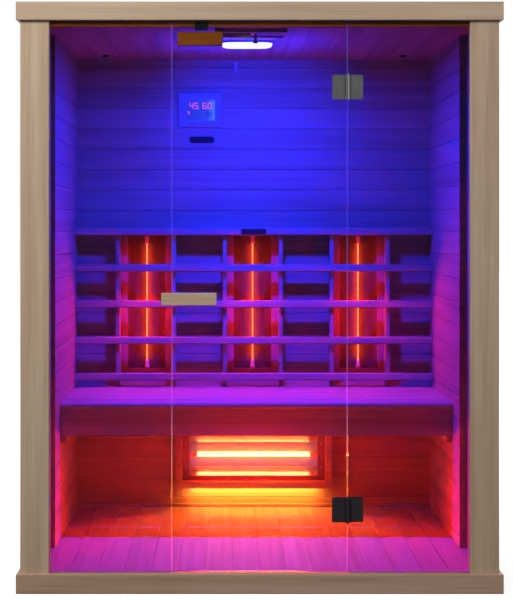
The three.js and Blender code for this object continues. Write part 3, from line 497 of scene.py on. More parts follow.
def paint_fittings():
    paint(glass_finish(), "left_glass", "right_glass", "door_glass")
    bright = steel_finish("bright_steel", srgb(182, 184, 184), roughness=0.26, axis=Z, metallic=0.75)
    # Painted shade: the lower hinge's steel is a darker, less metallic copy of the same chrome as the
    # upper one.
    dark = steel_finish("dark_steel", srgb(74, 68, 74), roughness=0.34, axis=Z, metallic=0.5)
    for piece in ("door_leaf", "frame_leaf", "pin"):
        paint(bright, f"upper_hinge_{piece}")
        paint(dark, f"lower_hinge_{piece}")
    paint(moulded_finish("probe_plastic", srgb(214, 214, 222), roughness=0.3), "temperature_probe")
    heat_tinted = reflector_finish(
        "heat_tinted_reflector",
        "heater_1_reflector",
        pale=srgb(118, 76, 68),
        dull=srgb(88, 54, 48),
        rim=srgb(156, 112, 104),
        metallic=0.6,
    )
    paint(heat_tinted, *(f"{heater}_reflector" for heater in HEATERS))
    polished = reflector_finish(
        "polished_reflector",
        "calf_heater_reflector",
        pale=srgb(226, 214, 204),
        dull=srgb(184, 170, 160),
        rim=srgb(128, 100, 104),
        metallic=0.9,
    )
    paint(polished, "calf_heater_reflector")
    paint(moulded_finish("dark_plastic", srgb(38, 38, 46), roughness=0.4), "catch_magnet")
    paint(moulded_finish("panel_plastic", srgb(186, 184, 190), roughness=0.4), "control_panel")
    grey_plastic = moulded_finish("grey_plastic", srgb(188, 188, 186), roughness=0.45)
    paint(grey_plastic, "lamp_base", "power_unit")
    paint(screen_finish(), "control_screen")
    paint(opal_finish(), "lamp_diffuser")


# Ways of making the small fittings, which ride on the cabin and the door

TO_FRONT = Matrix.Rotation(math.pi / 2, 3, "X")
TO_BACK = Matrix.Rotation(-math.pi / 2, 3, "X")
DOWNWARD = Matrix.Rotation(math.pi, 3, "X")
SCREW_STEPS = 16
SCREW_HEIGHT = 0.45
CROSSED_SLOT = (0.55, 0.24, 0.16, 0.24)
# Each ring of a screw head: the shares of the radius that its points take in turn, and its lift
SCREW_RINGS = (((1.0,), 0.0), ((1.0,), 0.3), ((0.82,), 1.0), (CROSSED_SLOT, 1.0), (CROSSED_SLOT, 0.35))
SMALL_SCREW = 0.0035


def add_piece(name, shape, finish, body):
    """Turns a finished bmesh into a piece that rides on a body and takes a slot's finish."""
    mesh = bpy.data.meshes.new(name)
    bmesh.ops.recalc_face_normals(shape, faces=shape.faces)
    shape.to_mesh(mesh)
    shape.free()
    piece = bpy.data.objects.new(name, mesh)
    bpy.context.scene.collection.objects.link(piece)
    mesh.materials.append(finish)
    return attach(piece, body)


def add_plate(shape, low, high, rounding):
    """A flat plate with eased edges, added to a shape."""
    made = bmesh.ops.create_cube(shape, size=1.0)["verts"]
    size = Vector(high) - Vector(low)
    middle = (Vector(high) + Vector(low)) / 2
    for vert in made:
        vert.co = Vector(vert.co[axis] * size[axis] for axis in (X, Y, Z)) + middle
    edges = {edge for vert in made for edge in vert.link_edges}
    bmesh.ops.bevel(shape, geom=list(edges), offset=rounding, segments=2, profile=0.5, affect="EDGES")


def circle(steps):
    """Evenly spaced points on a circle of radius 1."""
    angles = [2 * math.pi * step / steps for step in range(steps)]
    return [(math.cos(angle), math.sin(angle)) for angle in angles]


def add_ring(shape, spots):
    return [shape.verts.new(spot) for spot in spots]


def add_skin(shape, rings, looped=False):
    """Joins each ring to the next; the first and last are capped, or joined when looped."""
    count = len(rings[0])
    pairs = list(zip(rings, rings[1:]))
    if looped:
        pairs.append((rings[-1], rings[0]))
    for first, second in pairs:
        for step in range(count):
            after = (step + 1) % count
            shape.faces.new((first[step], first[after], second[after], second[step]))
    if not looped:
        shape.faces.new(rings[0][::-1])
        shape.faces.new(rings[-1])


def add_screw(shape, head, facing, radius):
    """A raised screw head with a crossed slot, its flat side on head and its top towards facing."""
    rings = []
    for shares, lift in SCREW_RINGS:
        spots = []
        for step, (x, y) in enumerate(circle(SCREW_STEPS)):
            reach = radius * shares[step % len(shares)]
            spot = Vector((reach * x, reach * y, radius * SCREW_HEIGHT * lift))
            spots.append(facing @ spot + Vector(head))
        rings.append(add_ring(shape, spots))
    add_skin(shape, rings)


def screws(name, heads, facing, radius, finish, body="cabin"):
    shape = bmesh.new()
    for head in heads:
        add_screw(shape, head, facing, radius)
    add_piece(name, shape, finish, body)


def front_corners(node, inset_x, inset_z):
    """Where screws sit, near the four corners of a node's front."""
    low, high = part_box(node)
    levels = (low.z + inset_z, high.z - inset_z)
    return [(x, low.y, z) for x in (low.x + inset_x, high.x - inset_x) for z in levels]


# Hinges and edges of the door

GLASS_CLEAR = 0.0003
BACKING_THICKNESS = 0.003
BACKING_ROUNDING = 0.001
BACKING_SCREW = 0.006
BACKING_SCREW_INSET = 0.02
DOOR_EDGE_INSET = 0.001
FRAME_EDGE_GAP = 0.005
# How far the edge strip reaches out from the door and how deep it lies, round its outline
EDGE_OUTLINE = (
    (0.0001, -0.0036), (0.0012, -0.0036), (0.0017, -0.002), (0.0010, 0.0),
    (0.0017, 0.002), (0.0012, 0.0036), (0.0001, 0.0036),
)
EDGE_END_GAP = 0.002
EDGE_GLOW_HEIGHT = 2.0


def hinge_backings(steel):
    """The clamp plate behind the glass at each hinge leaf, with its two screws."""
    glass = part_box("door_glass")[1]
    face = glass.y + GLASS_CLEAR
    back = face + BACKING_THICKNESS
    for level, slot in (("upper", "bright_steel"), ("lower", "dark_steel")):
        for leaf, body in (("door", "door"), ("frame", "cabin")):
            low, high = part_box(f"{level}_hinge_{leaf}_leaf")
            if leaf == "door":
                left, right = low.x, glass.x - DOOR_EDGE_INSET
            else:
                left, right = glass.x + FRAME_EDGE_GAP, high.x
            shape = bmesh.new()
            add_plate(shape, (left, face, low.z), (right, back, high.z), BACKING_ROUNDING)
            for height in (low.z + BACKING_SCREW_INSET, high.z - BACKING_SCREW_INSET):
                add_screw(shape, ((left + right) / 2, back, height), TO_BACK, BACKING_SCREW)
            add_piece(f"{level}_hinge_{leaf}_backing", shape, steel[level], body)


def painted_edge_glow():
    """A clear sealing strip with a painted glow, coloured by height, that stands in for the cabin's
    light along its length.
    """
    finish = new_finish("clear_edge_strip_painted_glow")
    place = finish.place()
    height = finish.axes(place)[Z] / EDGE_GLOW_HEIGHT
    haze = finish.noise(place, scale=160.0, detail=3.0)
    rose, flame, amber = (0.8, 0.16, 0.6, 1.0), (0.85, 0.14, 0.03, 1.0), (0.95, 0.42, 0.2, 1.0)
    pink, violet, blue = (0.5, 0.1, 0.6, 1.0), (0.55, 0.06, 0.25, 1.0), (0.055, 0.06, 0.385, 1.0)
    stops = (
        (0.03, rose), (0.14, flame), (0.22, amber), (0.31, pink),
        (0.42, violet), (0.55, blue), (0.92, blue),
    )
    return finish.surface(
        Base_Color=srgb(90, 92, 110),
        Roughness=0.25 + haze * 0.2,
        # Painted light: the strip is no lamp; its emission by height stands in for the cabin's blue,
        # violet and amber light.
        Emission_Color=finish.ramp(height, *stops),
        Emission_Strength=1.0,
    )


def edge_strips():
    """The clear strips on the two upright edges of the door, ribbed where they meet the fixed panes."""
    low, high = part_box("door_glass")
    finish = painted_edge_glow()
    middle = (low.y + high.y) / 2
    for side, edge, out in (("left", low.x, -1), ("right", high.x, 1)):
        shape = bmesh.new()
        ends = []
        for level in (low.z + EDGE_END_GAP, high.z - EDGE_END_GAP):
            spots = [(edge + out * reach, middle + depth, level) for reach, depth in EDGE_OUTLINE]
            ends.append(add_ring(shape, spots))
        add_skin(shape, ends)
        add_piece(f"door_edge_{side}", shape, finish, "door")


# Heater tubes

TURN_STEPS = 20
TUBE_RADIUS = 0.0055
TUBE_WALL = 0.001
TUBE_GRIP = 0.012
TUBE_CLEAR = 0.0003
HOLDER_RADIUS = 0.01
HOLDER_LENGTH = 0.0297
HOLDER_SEAT = 0.0125
HOLDER_EASE = 0.001
FLANGE_THICKNESS = 0.007
GROOVE_START = 0.007
GROOVE_END = 0.013
WIRE_BORE = 0.002
COIL_WIRE = 0.0007
COIL_PITCH = 0.0026
COIL_STEPS = 12
WIRE_STEPS = 5
BACK_COIL_RADIUS = 0.0024
CALF_COIL_RADIUS = 0.0036


def add_turned(shape, outline):
    """Turns a closed outline of radius and height round the Z axis."""
    rings = []
    for radius, height in outline:
        rings.append(add_ring(shape, [(radius * x, radius * y, height) for x, y in circle(TURN_STEPS)]))
    add_skin(shape, rings, looped=True)


def add_coil(shape, half, radius):
    """A wound wire along the Z axis, capped at both ends."""
    turns = 2 * half / COIL_PITCH
    count = int(turns * COIL_STEPS)
    rings = []
    for step in range(count + 1):
        angle = 2 * math.pi * step / COIL_STEPS
        height = -half + 2 * half * step / count
        spots = []
        for out, up in circle(WIRE_STEPS):
            reach = radius + COIL_WIRE * out
            spots.append((reach * math.cos(angle), reach * math.sin(angle), height + COIL_WIRE * up))
        rings.append(add_ring(shape, spots))
    add_skin(shape, rings)


def tube_outline(reach):
    inner = TUBE_RADIUS - TUBE_WALL
    heights = (-reach, 0.0, reach)
    return [(TUBE_RADIUS, height) for height in heights] + [(inner, height) for height in heights[::-1]]


def holder_outline(clear, half):
    """A ceramic from the clear length of its tube to the tube's end, with a groove and a flange."""
    seat = TUBE_RADIUS + TUBE_CLEAR
    neck = (TUBE_RADIUS + HOLDER_RADIUS) / 2
    return (
        (seat, clear),
        (neck, clear),
        (neck, clear + GROOVE_START),
        (neck - HOLDER_EASE, clear + GROOVE_START + HOLDER_EASE),
        (neck - HOLDER_EASE, clear + GROOVE_END - HOLDER_EASE),
        (neck, clear + GROOVE_END),
        (neck, half - FLANGE_THICKNESS - HOLDER_EASE),
        (HOLDER_RADIUS, half - FLANGE_THICKNESS),
        (HOLDER_RADIUS, half - HOLDER_EASE),
        (HOLDER_RADIUS - HOLDER_EASE, half),
        (WIRE_BORE, half),
        (WIRE_BORE, clear + HOLDER_SEAT),
        (seat, clear + HOLDER_SEAT),
    )


def heater_tube(name, axis, quartz, ceramic, glow, coil_radius):
    """A quartz tube with its glowing coil, held in a grooved ceramic at each end."""
    low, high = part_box(f"{name}_tube")
    half = (high[axis] - low[axis]) / 2
    clear = half - HOLDER_LENGTH
    place = Matrix.Translation((low + high) / 2)
    if axis == X:
        place = place @ Matrix.Rotation(math.pi / 2, 4, "Y")

    def finished(suffix, shape, finish):
        shape.transform(place)
        return add_piece(f"{name}_{suffix}", shape, finish, "cabin")

    shape = bmesh.new()
    add_turned(shape, tube_outline(clear + TUBE_GRIP))
    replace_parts(finished("quartz", shape, quartz), f"{name}_tube")

    shape = bmesh.new()
    add_coil(shape, clear, coil_radius)
    finished("coil", shape, glow)

    shape = bmesh.new()
    for side in (-1, 1):
        add_turned(shape, [(radius, side * height) for radius, height in holder_outline(clear, half)])
    finished("holders", shape, ceramic)


def heater_tubes():
    quartz = quartz_finish()
    ceramic = ceramic_finish()
    red, dull_red = (1.0, 0.18, 0.07, 1.0), (1.0, 0.12, 0.04, 1.0)
    yellow, amber = (1.0, 0.6, 0.22, 1.0), (1.0, 0.5, 0.15, 1.0)
    back_glow = coil_finish("back_coil_glow", red, dull_red, strength=4.0)
    calf_glow = coil_finish("calf_coil_glow", yellow, amber, strength=16.0)
    for heater in HEATERS:
        heater_tube(heater, Z, quartz, ceramic, back_glow, BACK_COIL_RADIUS)
    heater_tube("calf_heater", X, quartz, ceramic, calf_glow, CALF_COIL_RADIUS)


# Digits of the control panel and the bare plate under it

SEGMENTS = {
    "0": "abcdef", "1": "bc", "2": "abged", "3": "abgcd", "4": "fgbc",
    "5": "afgcd", "6": "afgedc", "7": "abc", "8": "abcdefg", "9": "abcdfg",
}
BAR_SHARE = 0.2
BAR_INSET = 0.6
BAR_ROUNDING = 0.00012
BAR_BACK = 0.00005
BAR_FRONT = 0.0004
# Each lit number: its place from the screen's left and foot, its digits, a digit's width and height
LIT_NUMBERS = (
    (0.015, 0.045, "45", 0.016, 0.025),
    (0.067, 0.045, "60", 0.016, 0.025),
    (0.007, 0.024, "3", 0.009, 0.013),
)
LIT_SPACING = 1.25
UNLIT_FROM_RIGHT = 0.034
UNLIT_FROM_FOOT = 0.016
UNLIT_SIZE = (0.01, 0.015)
UNLIT_PITCH = 0.014
PANEL_SCREW_INSET = 0.013
PLATE_MIDDLE = (-0.206, 1.5225)
PLATE_SIZE = (0.1, 0.025)
PLATE_THICKNESS = 0.004
# From the wall outwards: how far the plate's rim steps in, and its share of the thickness
PLATE_RIM = ((0.0, 0.0), (0.0, 0.7), (0.001, 1.0), (0.003, 1.0), (0.0035, 0.75))
PLATE_ROUNDING = 0.42
CORNER_STEPS = 6


def add_digit(shape, digit, left, base, face, size):
    """A seven-bar digit of thin raised bars on the screen."""
    width, height = size
    bar = width * BAR_SHARE
    half = height / 2
    rows = {"a": height - bar, "g": half - bar / 2, "d": 0.0}
    uprights = {"f": (0.0, half), "b": (width - bar, half), "e": (0.0, 0.0), "c": (width - bar, 0.0)}
    for name in SEGMENTS[digit]:
        if name in rows:
            inset = bar * BAR_INSET
            (across, up), (long, tall) = (inset, rows[name]), (width - 2 * inset, bar)
        else:
            (across, up), (long, tall) = uprights[name], (bar, half)
        start = (left + across, face - BAR_FRONT, base + up)
        end = (left + across + long, face - BAR_BACK, base + up + tall)
        add_plate(shape, start, end, BAR_ROUNDING)


def display_digits():
    low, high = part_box("control_screen")
    lit = glow_finish("lit_digits", srgb(238, 84, 255), strength=1.1)
    shape = bmesh.new()
    for left, base, digits, width, height in LIT_NUMBERS:
        for index, digit in enumerate(digits):
            start = low.x + left + index * width * LIT_SPACING
            add_digit(shape, digit, start, low.z + base, low.y, (width, height))
    add_piece("display_digits", shape, lit, "cabin")

    unlit = moulded_finish("unlit_signs", srgb(24, 30, 120), roughness=0.4)
    shape = bmesh.new()
    for index, digit in enumerate("05"):
        start = high.x - UNLIT_FROM_RIGHT + index * UNLIT_PITCH
        add_digit(shape, digit, start, low.z + UNLIT_FROM_FOOT, low.y, UNLIT_SIZE)
    add_piece("display_signs", shape, unlit, "cabin")


def panel_screws(finish):
    low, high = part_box("control_panel")
    middle = (low.z + high.z) / 2
    heads = [(x, low.y, middle) for x in (low.x + PANEL_SCREW_INSET, high.x - PANEL_SCREW_INSET)]
    screws("panel_screws", heads, TO_FRONT, SMALL_SCREW, finish)


def bare_plate():
    """A plate with round ends and a stepped rim, flat against the back wall."""
    width, height = PLATE_SIZE
    rounding = height * PLATE_ROUNDING
    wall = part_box("back_lining")[0].y
    shape = bmesh.new()
    rings = []
    for inset, lift in PLATE_RIM:
        spots = []
        for quarter, (side, level) in enumerate(((1, 1), (-1, 1), (-1, -1), (1, -1))):
            for step in range(CORNER_STEPS + 1):
                angle = math.pi / 2 * (quarter + step / CORNER_STEPS)
                x = side * (width / 2 - rounding) + (rounding - inset) * math.cos(angle)
                z = level * (height / 2 - rounding) + (rounding - inset) * math.sin(angle)
                spots.append((PLATE_MIDDLE[0] + x, wall - PLATE_THICKNESS * lift, PLATE_MIDDLE[1] + z))
        rings.append(add_ring(shape, spots))
    add_skin(shape, rings)
    enamel = moulded_finish("plate_enamel", srgb(34, 30, 44), roughness=0.3)
    add_piece("bare_plate", shape, enamel, "cabin")


# Trims, plugs and screws of the woodwork

TRIM_CLEAR = 0.0002
SKIRTING_DEPTH = 0.012
SKIRTING_HEIGHT = 0.015
SKIRTING_ROUNDING = 0.003
STRIP_HEIGHT = 0.012
STRIP_DROP = 0.0005
STRIP_ROUNDING = 0.002
SLAT_PLATE_ENDS = (-0.05, 0.048)
SLAT_PLATE_THICKNESS = 0.003
SLAT_PLATE_FOOT = 0.003
SLAT_PLATE_TOP = 0.004
SLAT_PLATE_ROUNDING = 0.001
PLUG_RADIUS = 0.013
PLUG_ASIDE = 0.576
PLUG_BACK = 0.346
SURROUND_SCREW_INSET = 0.012
SURROUND_SCREW_PITCH = 0.2
REFLECTOR_SCREW = 0.003
REFLECTOR_SCREW_HEIGHT = 0.05
BACK_REFLECTOR_INSET = 0.012
CALF_REFLECTOR_INSET = 0.015
VENT_SCREW_INSET = (0.02, 0.009)
CATCH_SCREW = 0.004
CATCH_SCREW_INSET = 0.03
STRIKE_THICKNESS = 0.002
STRIKE_MARGIN = 0.004
STRIKE_DROP = 0.012
STRIKE_TOP = 0.001
STRIKE_ROUNDING = 0.0006


def wood_trims():
    """The skirting at the foot of the back wall and the strip that closes the bench against it."""
    trim = wood("trim_wood", INSIDE_TONES, X)
    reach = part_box("backrest_slat_1")[1].x
    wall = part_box("back_lining")[0].y - TRIM_CLEAR
    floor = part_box("floor_deck")[1].z + TRIM_CLEAR
    start = (-reach, wall - SKIRTING_DEPTH, floor)
    shape = bmesh.new()
    add_plate(shape, start, (reach, wall, floor + SKIRTING_HEIGHT), SKIRTING_ROUNDING)
    add_piece("back_skirting", shape, trim, "cabin")

    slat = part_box("bench_slat_4")[1]
    start = (-reach, slat.y + TRIM_CLEAR, slat.z - STRIP_HEIGHT)
    shape = bmesh.new()
    add_plate(shape, start, (reach, wall, slat.z - STRIP_DROP), STRIP_ROUNDING)
    add_piece("bench_back_strip", shape, trim, "cabin")


def plate_and_plugs():
    """The dark plate on the top backrest slat and the two plugs in the ceiling."""
    plastic = moulded_finish("cap_plastic", srgb(44, 36, 40), roughness=0.5)
    low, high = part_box("backrest_slat_5")
    left, right = SLAT_PLATE_ENDS
    start = (left, low.y - SLAT_PLATE_THICKNESS, low.z + SLAT_PLATE_FOOT)
    shape = bmesh.new()
    add_plate(shape, start, (right, low.y, high.z - SLAT_PLATE_TOP), SLAT_PLATE_ROUNDING)
    add_piece("slat_plate", shape, plastic, "cabin")

    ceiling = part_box("ceiling_panel")[0].z
    for side, x in (("left", -PLUG_ASIDE), ("right", PLUG_ASIDE)):
        shape = bmesh.new()
        add_screw(shape, (x, PLUG_BACK, ceiling), DOWNWARD, PLUG_RADIUS)
        add_piece(f"ceiling_plug_{side}", shape, plastic, "cabin")


def cabin_screws(finish):
    inset = SURROUND_SCREW_INSET
    low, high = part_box("calf_heater_surround")
    levels = (low.z + inset, high.z - inset)
    columns = (-SURROUND_SCREW_PITCH, 0.0, SURROUND_SCREW_PITCH)
    heads = [(x, low.y, z) for x in columns for z in levels]
    heads += [(x, low.y, (low.z + high.z) / 2) for x in (low.x + inset, high.x - inset)]
    screws("surround_screws", heads, TO_FRONT, SMALL_SCREW, finish)

    insets = {heater: BACK_REFLECTOR_INSET for heater in HEATERS}
    insets["calf_heater"] = CALF_REFLECTOR_INSET
    for heater, inset in insets.items():
        heads = front_corners(f"{heater}_reflector", inset, REFLECTOR_SCREW_HEIGHT)
        screws(f"{heater}_screws", heads, TO_FRONT, REFLECTOR_SCREW, finish)

    low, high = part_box("vent_frame")
    inset_x, inset_y = VENT_SCREW_INSET
    depths = (low.y + inset_y, high.y - inset_y)
    heads = [(x, y, low.z) for x in (low.x + inset_x, high.x - inset_x) for y in depths]
    screws("vent_screws", heads, DOWNWARD, SMALL_SCREW, finish)


def catch_fittings(finish):
    """The screws of the wooden catch, and the plate on the glass that its magnet holds."""
    low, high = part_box("catch_block")
    middle = (low.z + high.z) / 2
    heads = [(x, high.y, middle) for x in (low.x + CATCH_SCREW_INSET, high.x - CATCH_SCREW_INSET)]
    screws("catch_screws", heads, TO_BACK, CATCH_SCREW, finish, body="door")

    low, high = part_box("catch_magnet")
    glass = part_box("door_glass")[1]
    face = glass.y + GLASS_CLEAR
    start = (low.x - STRIKE_MARGIN, face, low.z - STRIKE_DROP)
    end = (high.x + STRIKE_MARGIN, face + STRIKE_THICKNESS, glass.z - STRIKE_TOP)
    shape = bmesh.new()
    add_plate(shape, start, end, STRIKE_ROUNDING)
    add_piece("strike_plate", shape, finish, "door")


# Light: the lamp and the heaters inside, a soft studio outside

LAMP_BLUE = (0.001, 0.009, 1.0)
HEATER_RED = (1.0, 0.018, 0.008)
HEATER_AMBER = (1.0, 0.32, 0.05)
HEATER_ORANGE = (1.0, 0.1, 0.02)
WHITE = (1.0, 1.0, 1.0)
UP = Vector((0, 0, 1))
# A ray that comes in through the glass has bounced twice by then, once at each face
DIRECT_ONLY = 2
RED_BOUNCES = 3
ALL_BOUNCES = 1024
BEAM_SOFTNESS = 0.015
LAMP_FORWARD = 0.15
LAMP_DROP = 0.02
HALO_DROP = 0.1
WALL_SPOT = (0.0, 0.49, 1.62)
BENCH_SPOT = (0.0, 0.2, 0.55)
TUBE_DARK_ENDS = 0.07
TUBE_LIGHT_WIDTH = 0.012
TUBE_LIGHT_AHEAD = 0.012
TUBE_LIGHT_BEHIND = 0.007
RETURN_WIDTH = 0.12
RETURN_AHEAD = 0.06
LEDGE_INSET = 0.02
LEDGE_CLEAR = 0.002
SURROUND_CLEAR = 0.004
SURROUND_RISE = 0.05
DECK_AHEAD = 0.2
DECK_RISE = 0.02
FASCIA_RISE = 0.05
GAP_BEHIND = 0.012
GAP_RISE = 0.004


def aim_light(data, name, place, towards, power, colour, studio=False, bounces=ALL_BOUNCES):
    data.energy = power
    data.cycles.max_bounces = bounces
    data.color = colour
    light = bpy.data.objects.new(name, data)
    light.location = place
    direction = Vector(towards) - Vector(place)
    light.rotation_euler = direction.to_track_quat("-Z", "Y").to_euler()
    light.visible_camera = False
    light.visible_glossy = studio
    light.visible_transmission = False
    bpy.context.scene.collection.objects.link(light)
    return light


def area_light(name, place, towards, size, power, colour=WHITE, spread=180, **settings):
    data = bpy.data.lights.new(name, "AREA")
    data.shape = "RECTANGLE"
    data.size, data.size_y = size
    data.spread = math.radians(spread)
    return aim_light(data, name, place, towards, power, colour, **settings)


def beam_light(name, place, towards, angle, power, colour):
    data = bpy.data.lights.new(name, "SPOT")
    data.spot_size = math.radians(angle)
    data.spot_blend = 1.0
    data.shadow_soft_size = BEAM_SOFTNESS
    return aim_light(data, name, place, towards, power, colour)


def lamp_light():
    """The blue of the ceiling lamp: a wash, a beam each to the wall and the bench, and a halo."""
    low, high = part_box("lamp_diffuser")
    middle = (low + high) / 2
    under = Vector((middle.x, middle.y - LAMP_FORWARD, low.z - LAMP_DROP))
    area_light("blue_lamp", under, under - UP, size=(0.17, 0.1), power=76.0, colour=LAMP_BLUE)
    beam_light("blue_wall_beam", under, WALL_SPOT, angle=76, power=62.0, colour=LAMP_BLUE)
    beam_light("blue_bench_beam", under, BENCH_SPOT, angle=75, power=175.0, colour=LAMP_BLUE)
    above = Vector((middle.x, middle.y, low.z - HALO_DROP))
    area_light("blue_halo", above, above + UP, size=(0.5, 0.4), power=5.0, colour=LAMP_BLUE)


def tube_light(name, axis, powers, dip, spread, glow, bounces=ALL_BOUNCES):
    """The light that a tube throws into the cabin, into its reflector and back onto its flange."""
    low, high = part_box(f"{name}_tube")
    middle = (low + high) / 2
    length = high[axis] - low[axis] - TUBE_DARK_ENDS
    ahead, behind, returned = powers

    def strip(suffix, place, heading, width, reach, power, colour, angle=180, bounces=DIRECT_ONLY):
        size = (width, reach) if axis == Z else (reach, width)
        towards = place + Vector(heading)
        area_light(f"{name}_{suffix}", place, towards, size, power, colour, angle, bounces=bounces)

    front, reach = middle + Vector((0, -TUBE_LIGHT_AHEAD, 0)), length
    if axis == Z:
        # Tipped down, an upright strip leans into the room, so its lower end starts at the tube.
        reach = length / 2
        front += Vector((0, -dip, 1)).normalized() * reach / 2
    strip("strip", front, (0, -1, -dip), TUBE_LIGHT_WIDTH, reach, ahead, HEATER_RED, spread, bounces)
    back = middle + Vector((0, TUBE_LIGHT_BEHIND, 0))
    strip("glow", back, (0, 1, 0), TUBE_LIGHT_WIDTH, length, behind, glow)
    outside = middle + Vector((0, -RETURN_AHEAD, 0))
    strip("return", outside, (0, 1, 0), RETURN_WIDTH, length, returned, HEATER_RED)


def heater_light():
    """The tubes' own light, then what the calf heater throws on the wall, the floor and the fascia."""
    for heater in HEATERS:
        powers = (2.5, 0.75, 0.8)
        tube_light(heater, Z, powers, dip=1.2, spread=180, glow=HEATER_ORANGE, bounces=RED_BOUNCES)
    tube_light("calf_heater", X, (32.0, 3.6, 3.0), dip=0.2, spread=118, glow=HEATER_AMBER)

    def direct(name, place, towards, size, power, colour, spread=180):
        area_light(name, place, towards, size, power, colour, spread, bounces=DIRECT_ONLY)

    low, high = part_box("calf_heater_surround")
    ledge = Vector((0.0, high.y - LEDGE_INSET, low.z - LEDGE_CLEAR))
    towards = ledge + Vector((0, 0.25, -1))
    direct("ledge_glow", ledge, towards, size=(0.5, 0.02), power=2.3, colour=HEATER_AMBER)
    front = Vector((0.0, low.y - SURROUND_CLEAR, low.z + SURROUND_RISE))
    towards = front + Vector((0, -1, -0.7))
    direct("floor_glow", front, towards, size=(0.46, 0.03), power=8.5, colour=HEATER_AMBER, spread=105)

    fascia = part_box("bench_fascia")[0]
    deck = Vector((0.0, fascia.y - DECK_AHEAD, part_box("floor_deck")[1].z + DECK_RISE))
    towards = Vector((0.0, fascia.y, fascia.z + FASCIA_RISE))
    direct("floor_return", deck, towards, size=(0.4, 0.12), power=1.1, colour=HEATER_RED, spread=110)

    low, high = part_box("backrest_slat_1")
    gap = Vector((0.0, high.y + GAP_BEHIND, low.z + GAP_RISE))
    towards = gap + Vector((0, 1, -0.8))
    direct("bench_gap_glow", gap, towards, size=(1.15, 0.02), power=0.16, colour=HEATER_RED)


def studio_light():
    aim = (0.0, -0.5, 1.0)
    key, fill, back = (-2.6, -3.3, 3.6), (3.4, -3.8, 3.0), (0.5, 5.0, 3.5)
    area_light("key_light", key, aim, size=(1.8, 1.8), power=134.0)
    area_light("fill_light", fill, aim, size=(3.0, 3.0), power=56.0, studio=True)
    area_light("back_light", back, aim, size=(3.0, 3.0), power=160.0, studio=True)


def node_group(name, *nodes):
    group = bpy.data.collections.new(name)
    for node in nodes:
        group.objects.link(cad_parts[node])
    return group


def catch_light():
    """Room light on the wooden catch and header, which stand close behind the glass."""
    place, towards = (-0.4, -2.6, 2.3), (-0.1, -0.52, 1.75)
    linking = area_light("catch_light", place, towards, size=(1.0, 0.6), power=12.0).light_linking
    linking.receiver_collection = node_group("behind_glass_wood", "catch_block", "header_rail")
    linking.blocker_collection = node_group("front_glass", "left_glass", "door_glass", "right_glass")
    for entry in linking.blocker_collection.collection_objects:
        entry.light_linking.link_state = "EXCLUDE"


# Backdrop and floor

AMBIENT = 0.16
FLOOR_REACH = 30.0
FLOOR_DROP = 0.001
FLOOR_FADE_START = 1.0
FLOOR_FADE_END = 3.0
FLOOR_SEEN = srgb(226, 226, 226)
FLOOR_BOUNCED = srgb(40, 40, 40)


def straight_through(finish):
    """Rays that came through glass and met no mirror."""
    return finish.ray("Is Transmission Ray") * (finish.ray("Glossy Depth") < 0.5)


def studio_world():
    """A white backdrop, mirrored only from the back and sides, with a little light through the glass."""
    world = bpy.data.worlds.new("studio")
    bpy.context.scene.world = world
    finish = Finish(world)
    camera = finish.ray("Is Camera Ray")
    bounced = finish.ray("Diffuse Depth") > 0.5
    polished = larger(finish.ray("Is Glossy Ray"), finish.ray("Is Transmission Ray"))
    straight = straight_through(finish)
    heading = finish.axes(finish.node("ShaderNodeTexCoord", {}, {}, "Generated"))[Y]

    def rise(start, end, low, high):
        limits = {"Value": heading, "From Min": start, "From Max": end, "To Min": low, "To Max": high}
        return finish.node("ShaderNodeMapRange", {"interpolation_type": "SMOOTHSTEP"}, limits)

    backdrop = rise(start=-0.35, end=0.05, low=0.02, high=1.0)
    through_glass = rise(start=-0.5, end=-0.1, low=0.004, high=0.24)
    clear = straight + (polished - straight) * backdrop
    unseen = bounced * polished * through_glass + (1 - bounced) * clear + (1 - polished) * AMBIENT
    strength = camera + (1 - camera) * unseen
    sky = finish.node("ShaderNodeBackground", {}, {"Color": grey(1.0), "Strength": strength})
    finish.node("ShaderNodeOutputWorld", {}, {"Surface": sky})


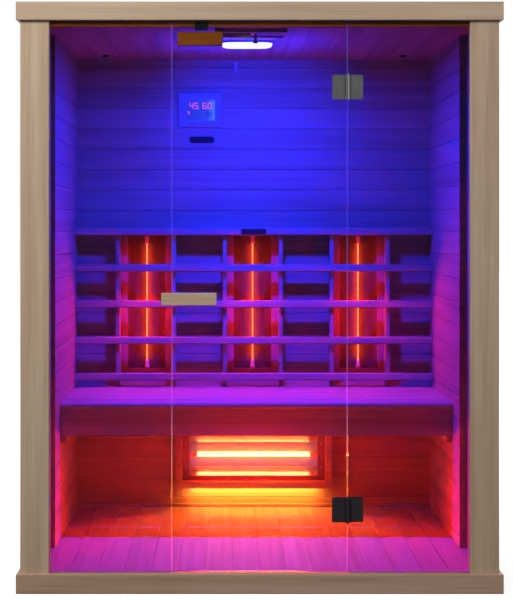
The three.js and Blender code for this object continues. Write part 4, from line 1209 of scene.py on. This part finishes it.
def floor_finish():
    """White to the camera and through clear glass, and dark to the rays that bounce."""
    finish = new_finish("studio_floor")
    place = finish.place()
    camera = finish.ray("Is Camera Ray")
    behind = finish.axes(place)[Y] > CAD_BOX[1].y
    clear = larger(straight_through(finish), finish.ray("Is Glossy Ray") * behind)
    seen = larger(camera, clear * (finish.ray("Diffuse Depth") < 0.5))
    away = finish.node("ShaderNodeVectorMath", {"operation": "LENGTH"}, {0: place}, "Value")
    fade = {"Value": away, "From Min": FLOOR_FADE_START, "From Max": FLOOR_FADE_END}
    near = finish.mix(finish.node("ShaderNodeMapRange", {}, fade), grey(0.7), grey(1.0))
    return finish.surface(
        Base_Color=finish.mix(seen, FLOOR_BOUNCED, FLOOR_SEEN),
        Roughness=0.9,
        Specular_IOR_Level=0.0,
        Emission_Color=finish.mix(seen, grey(0.0), near),
        Emission_Strength=1.0,
    )


def studio_floor():
    """A pale floor that shows white to the camera and still takes the cabin's shadow."""
    shape = bmesh.new()
    bmesh.ops.create_grid(shape, x_segments=1, y_segments=1, size=FLOOR_REACH)
    mesh = bpy.data.meshes.new("studio_floor")
    shape.to_mesh(mesh)
    shape.free()
    floor = bpy.data.objects.new("studio_floor", mesh)
    floor.location.z = -FLOOR_DROP
    bpy.context.scene.collection.objects.link(floor)
    mesh.materials.append(floor_finish())


# The cabin is put together

set_camera()
paint_outside()
paint_inside()
paint_fittings()
STEEL = {
    "upper": steel_finish("fitting_steel", srgb(190, 190, 188), roughness=0.25, axis=X),
    # Painted shade: the lower fittings take a darkened copy of the same steel.
    "lower": steel_finish("shaded_fitting_steel", srgb(74, 68, 74), roughness=0.36, axis=X, metallic=0.5),
}
hinge_backings(STEEL)
heater_tubes()
edge_strips()
display_digits()
panel_screws(STEEL["upper"])
bare_plate()
wood_trims()
plate_and_plugs()
cabin_screws(STEEL["upper"])
catch_fittings(STEEL["upper"])
lamp_light()
heater_light()
studio_light()
catch_light()
studio_world()
studio_floor()
bpy.context.scene.view_settings.view_transform = "Standard"
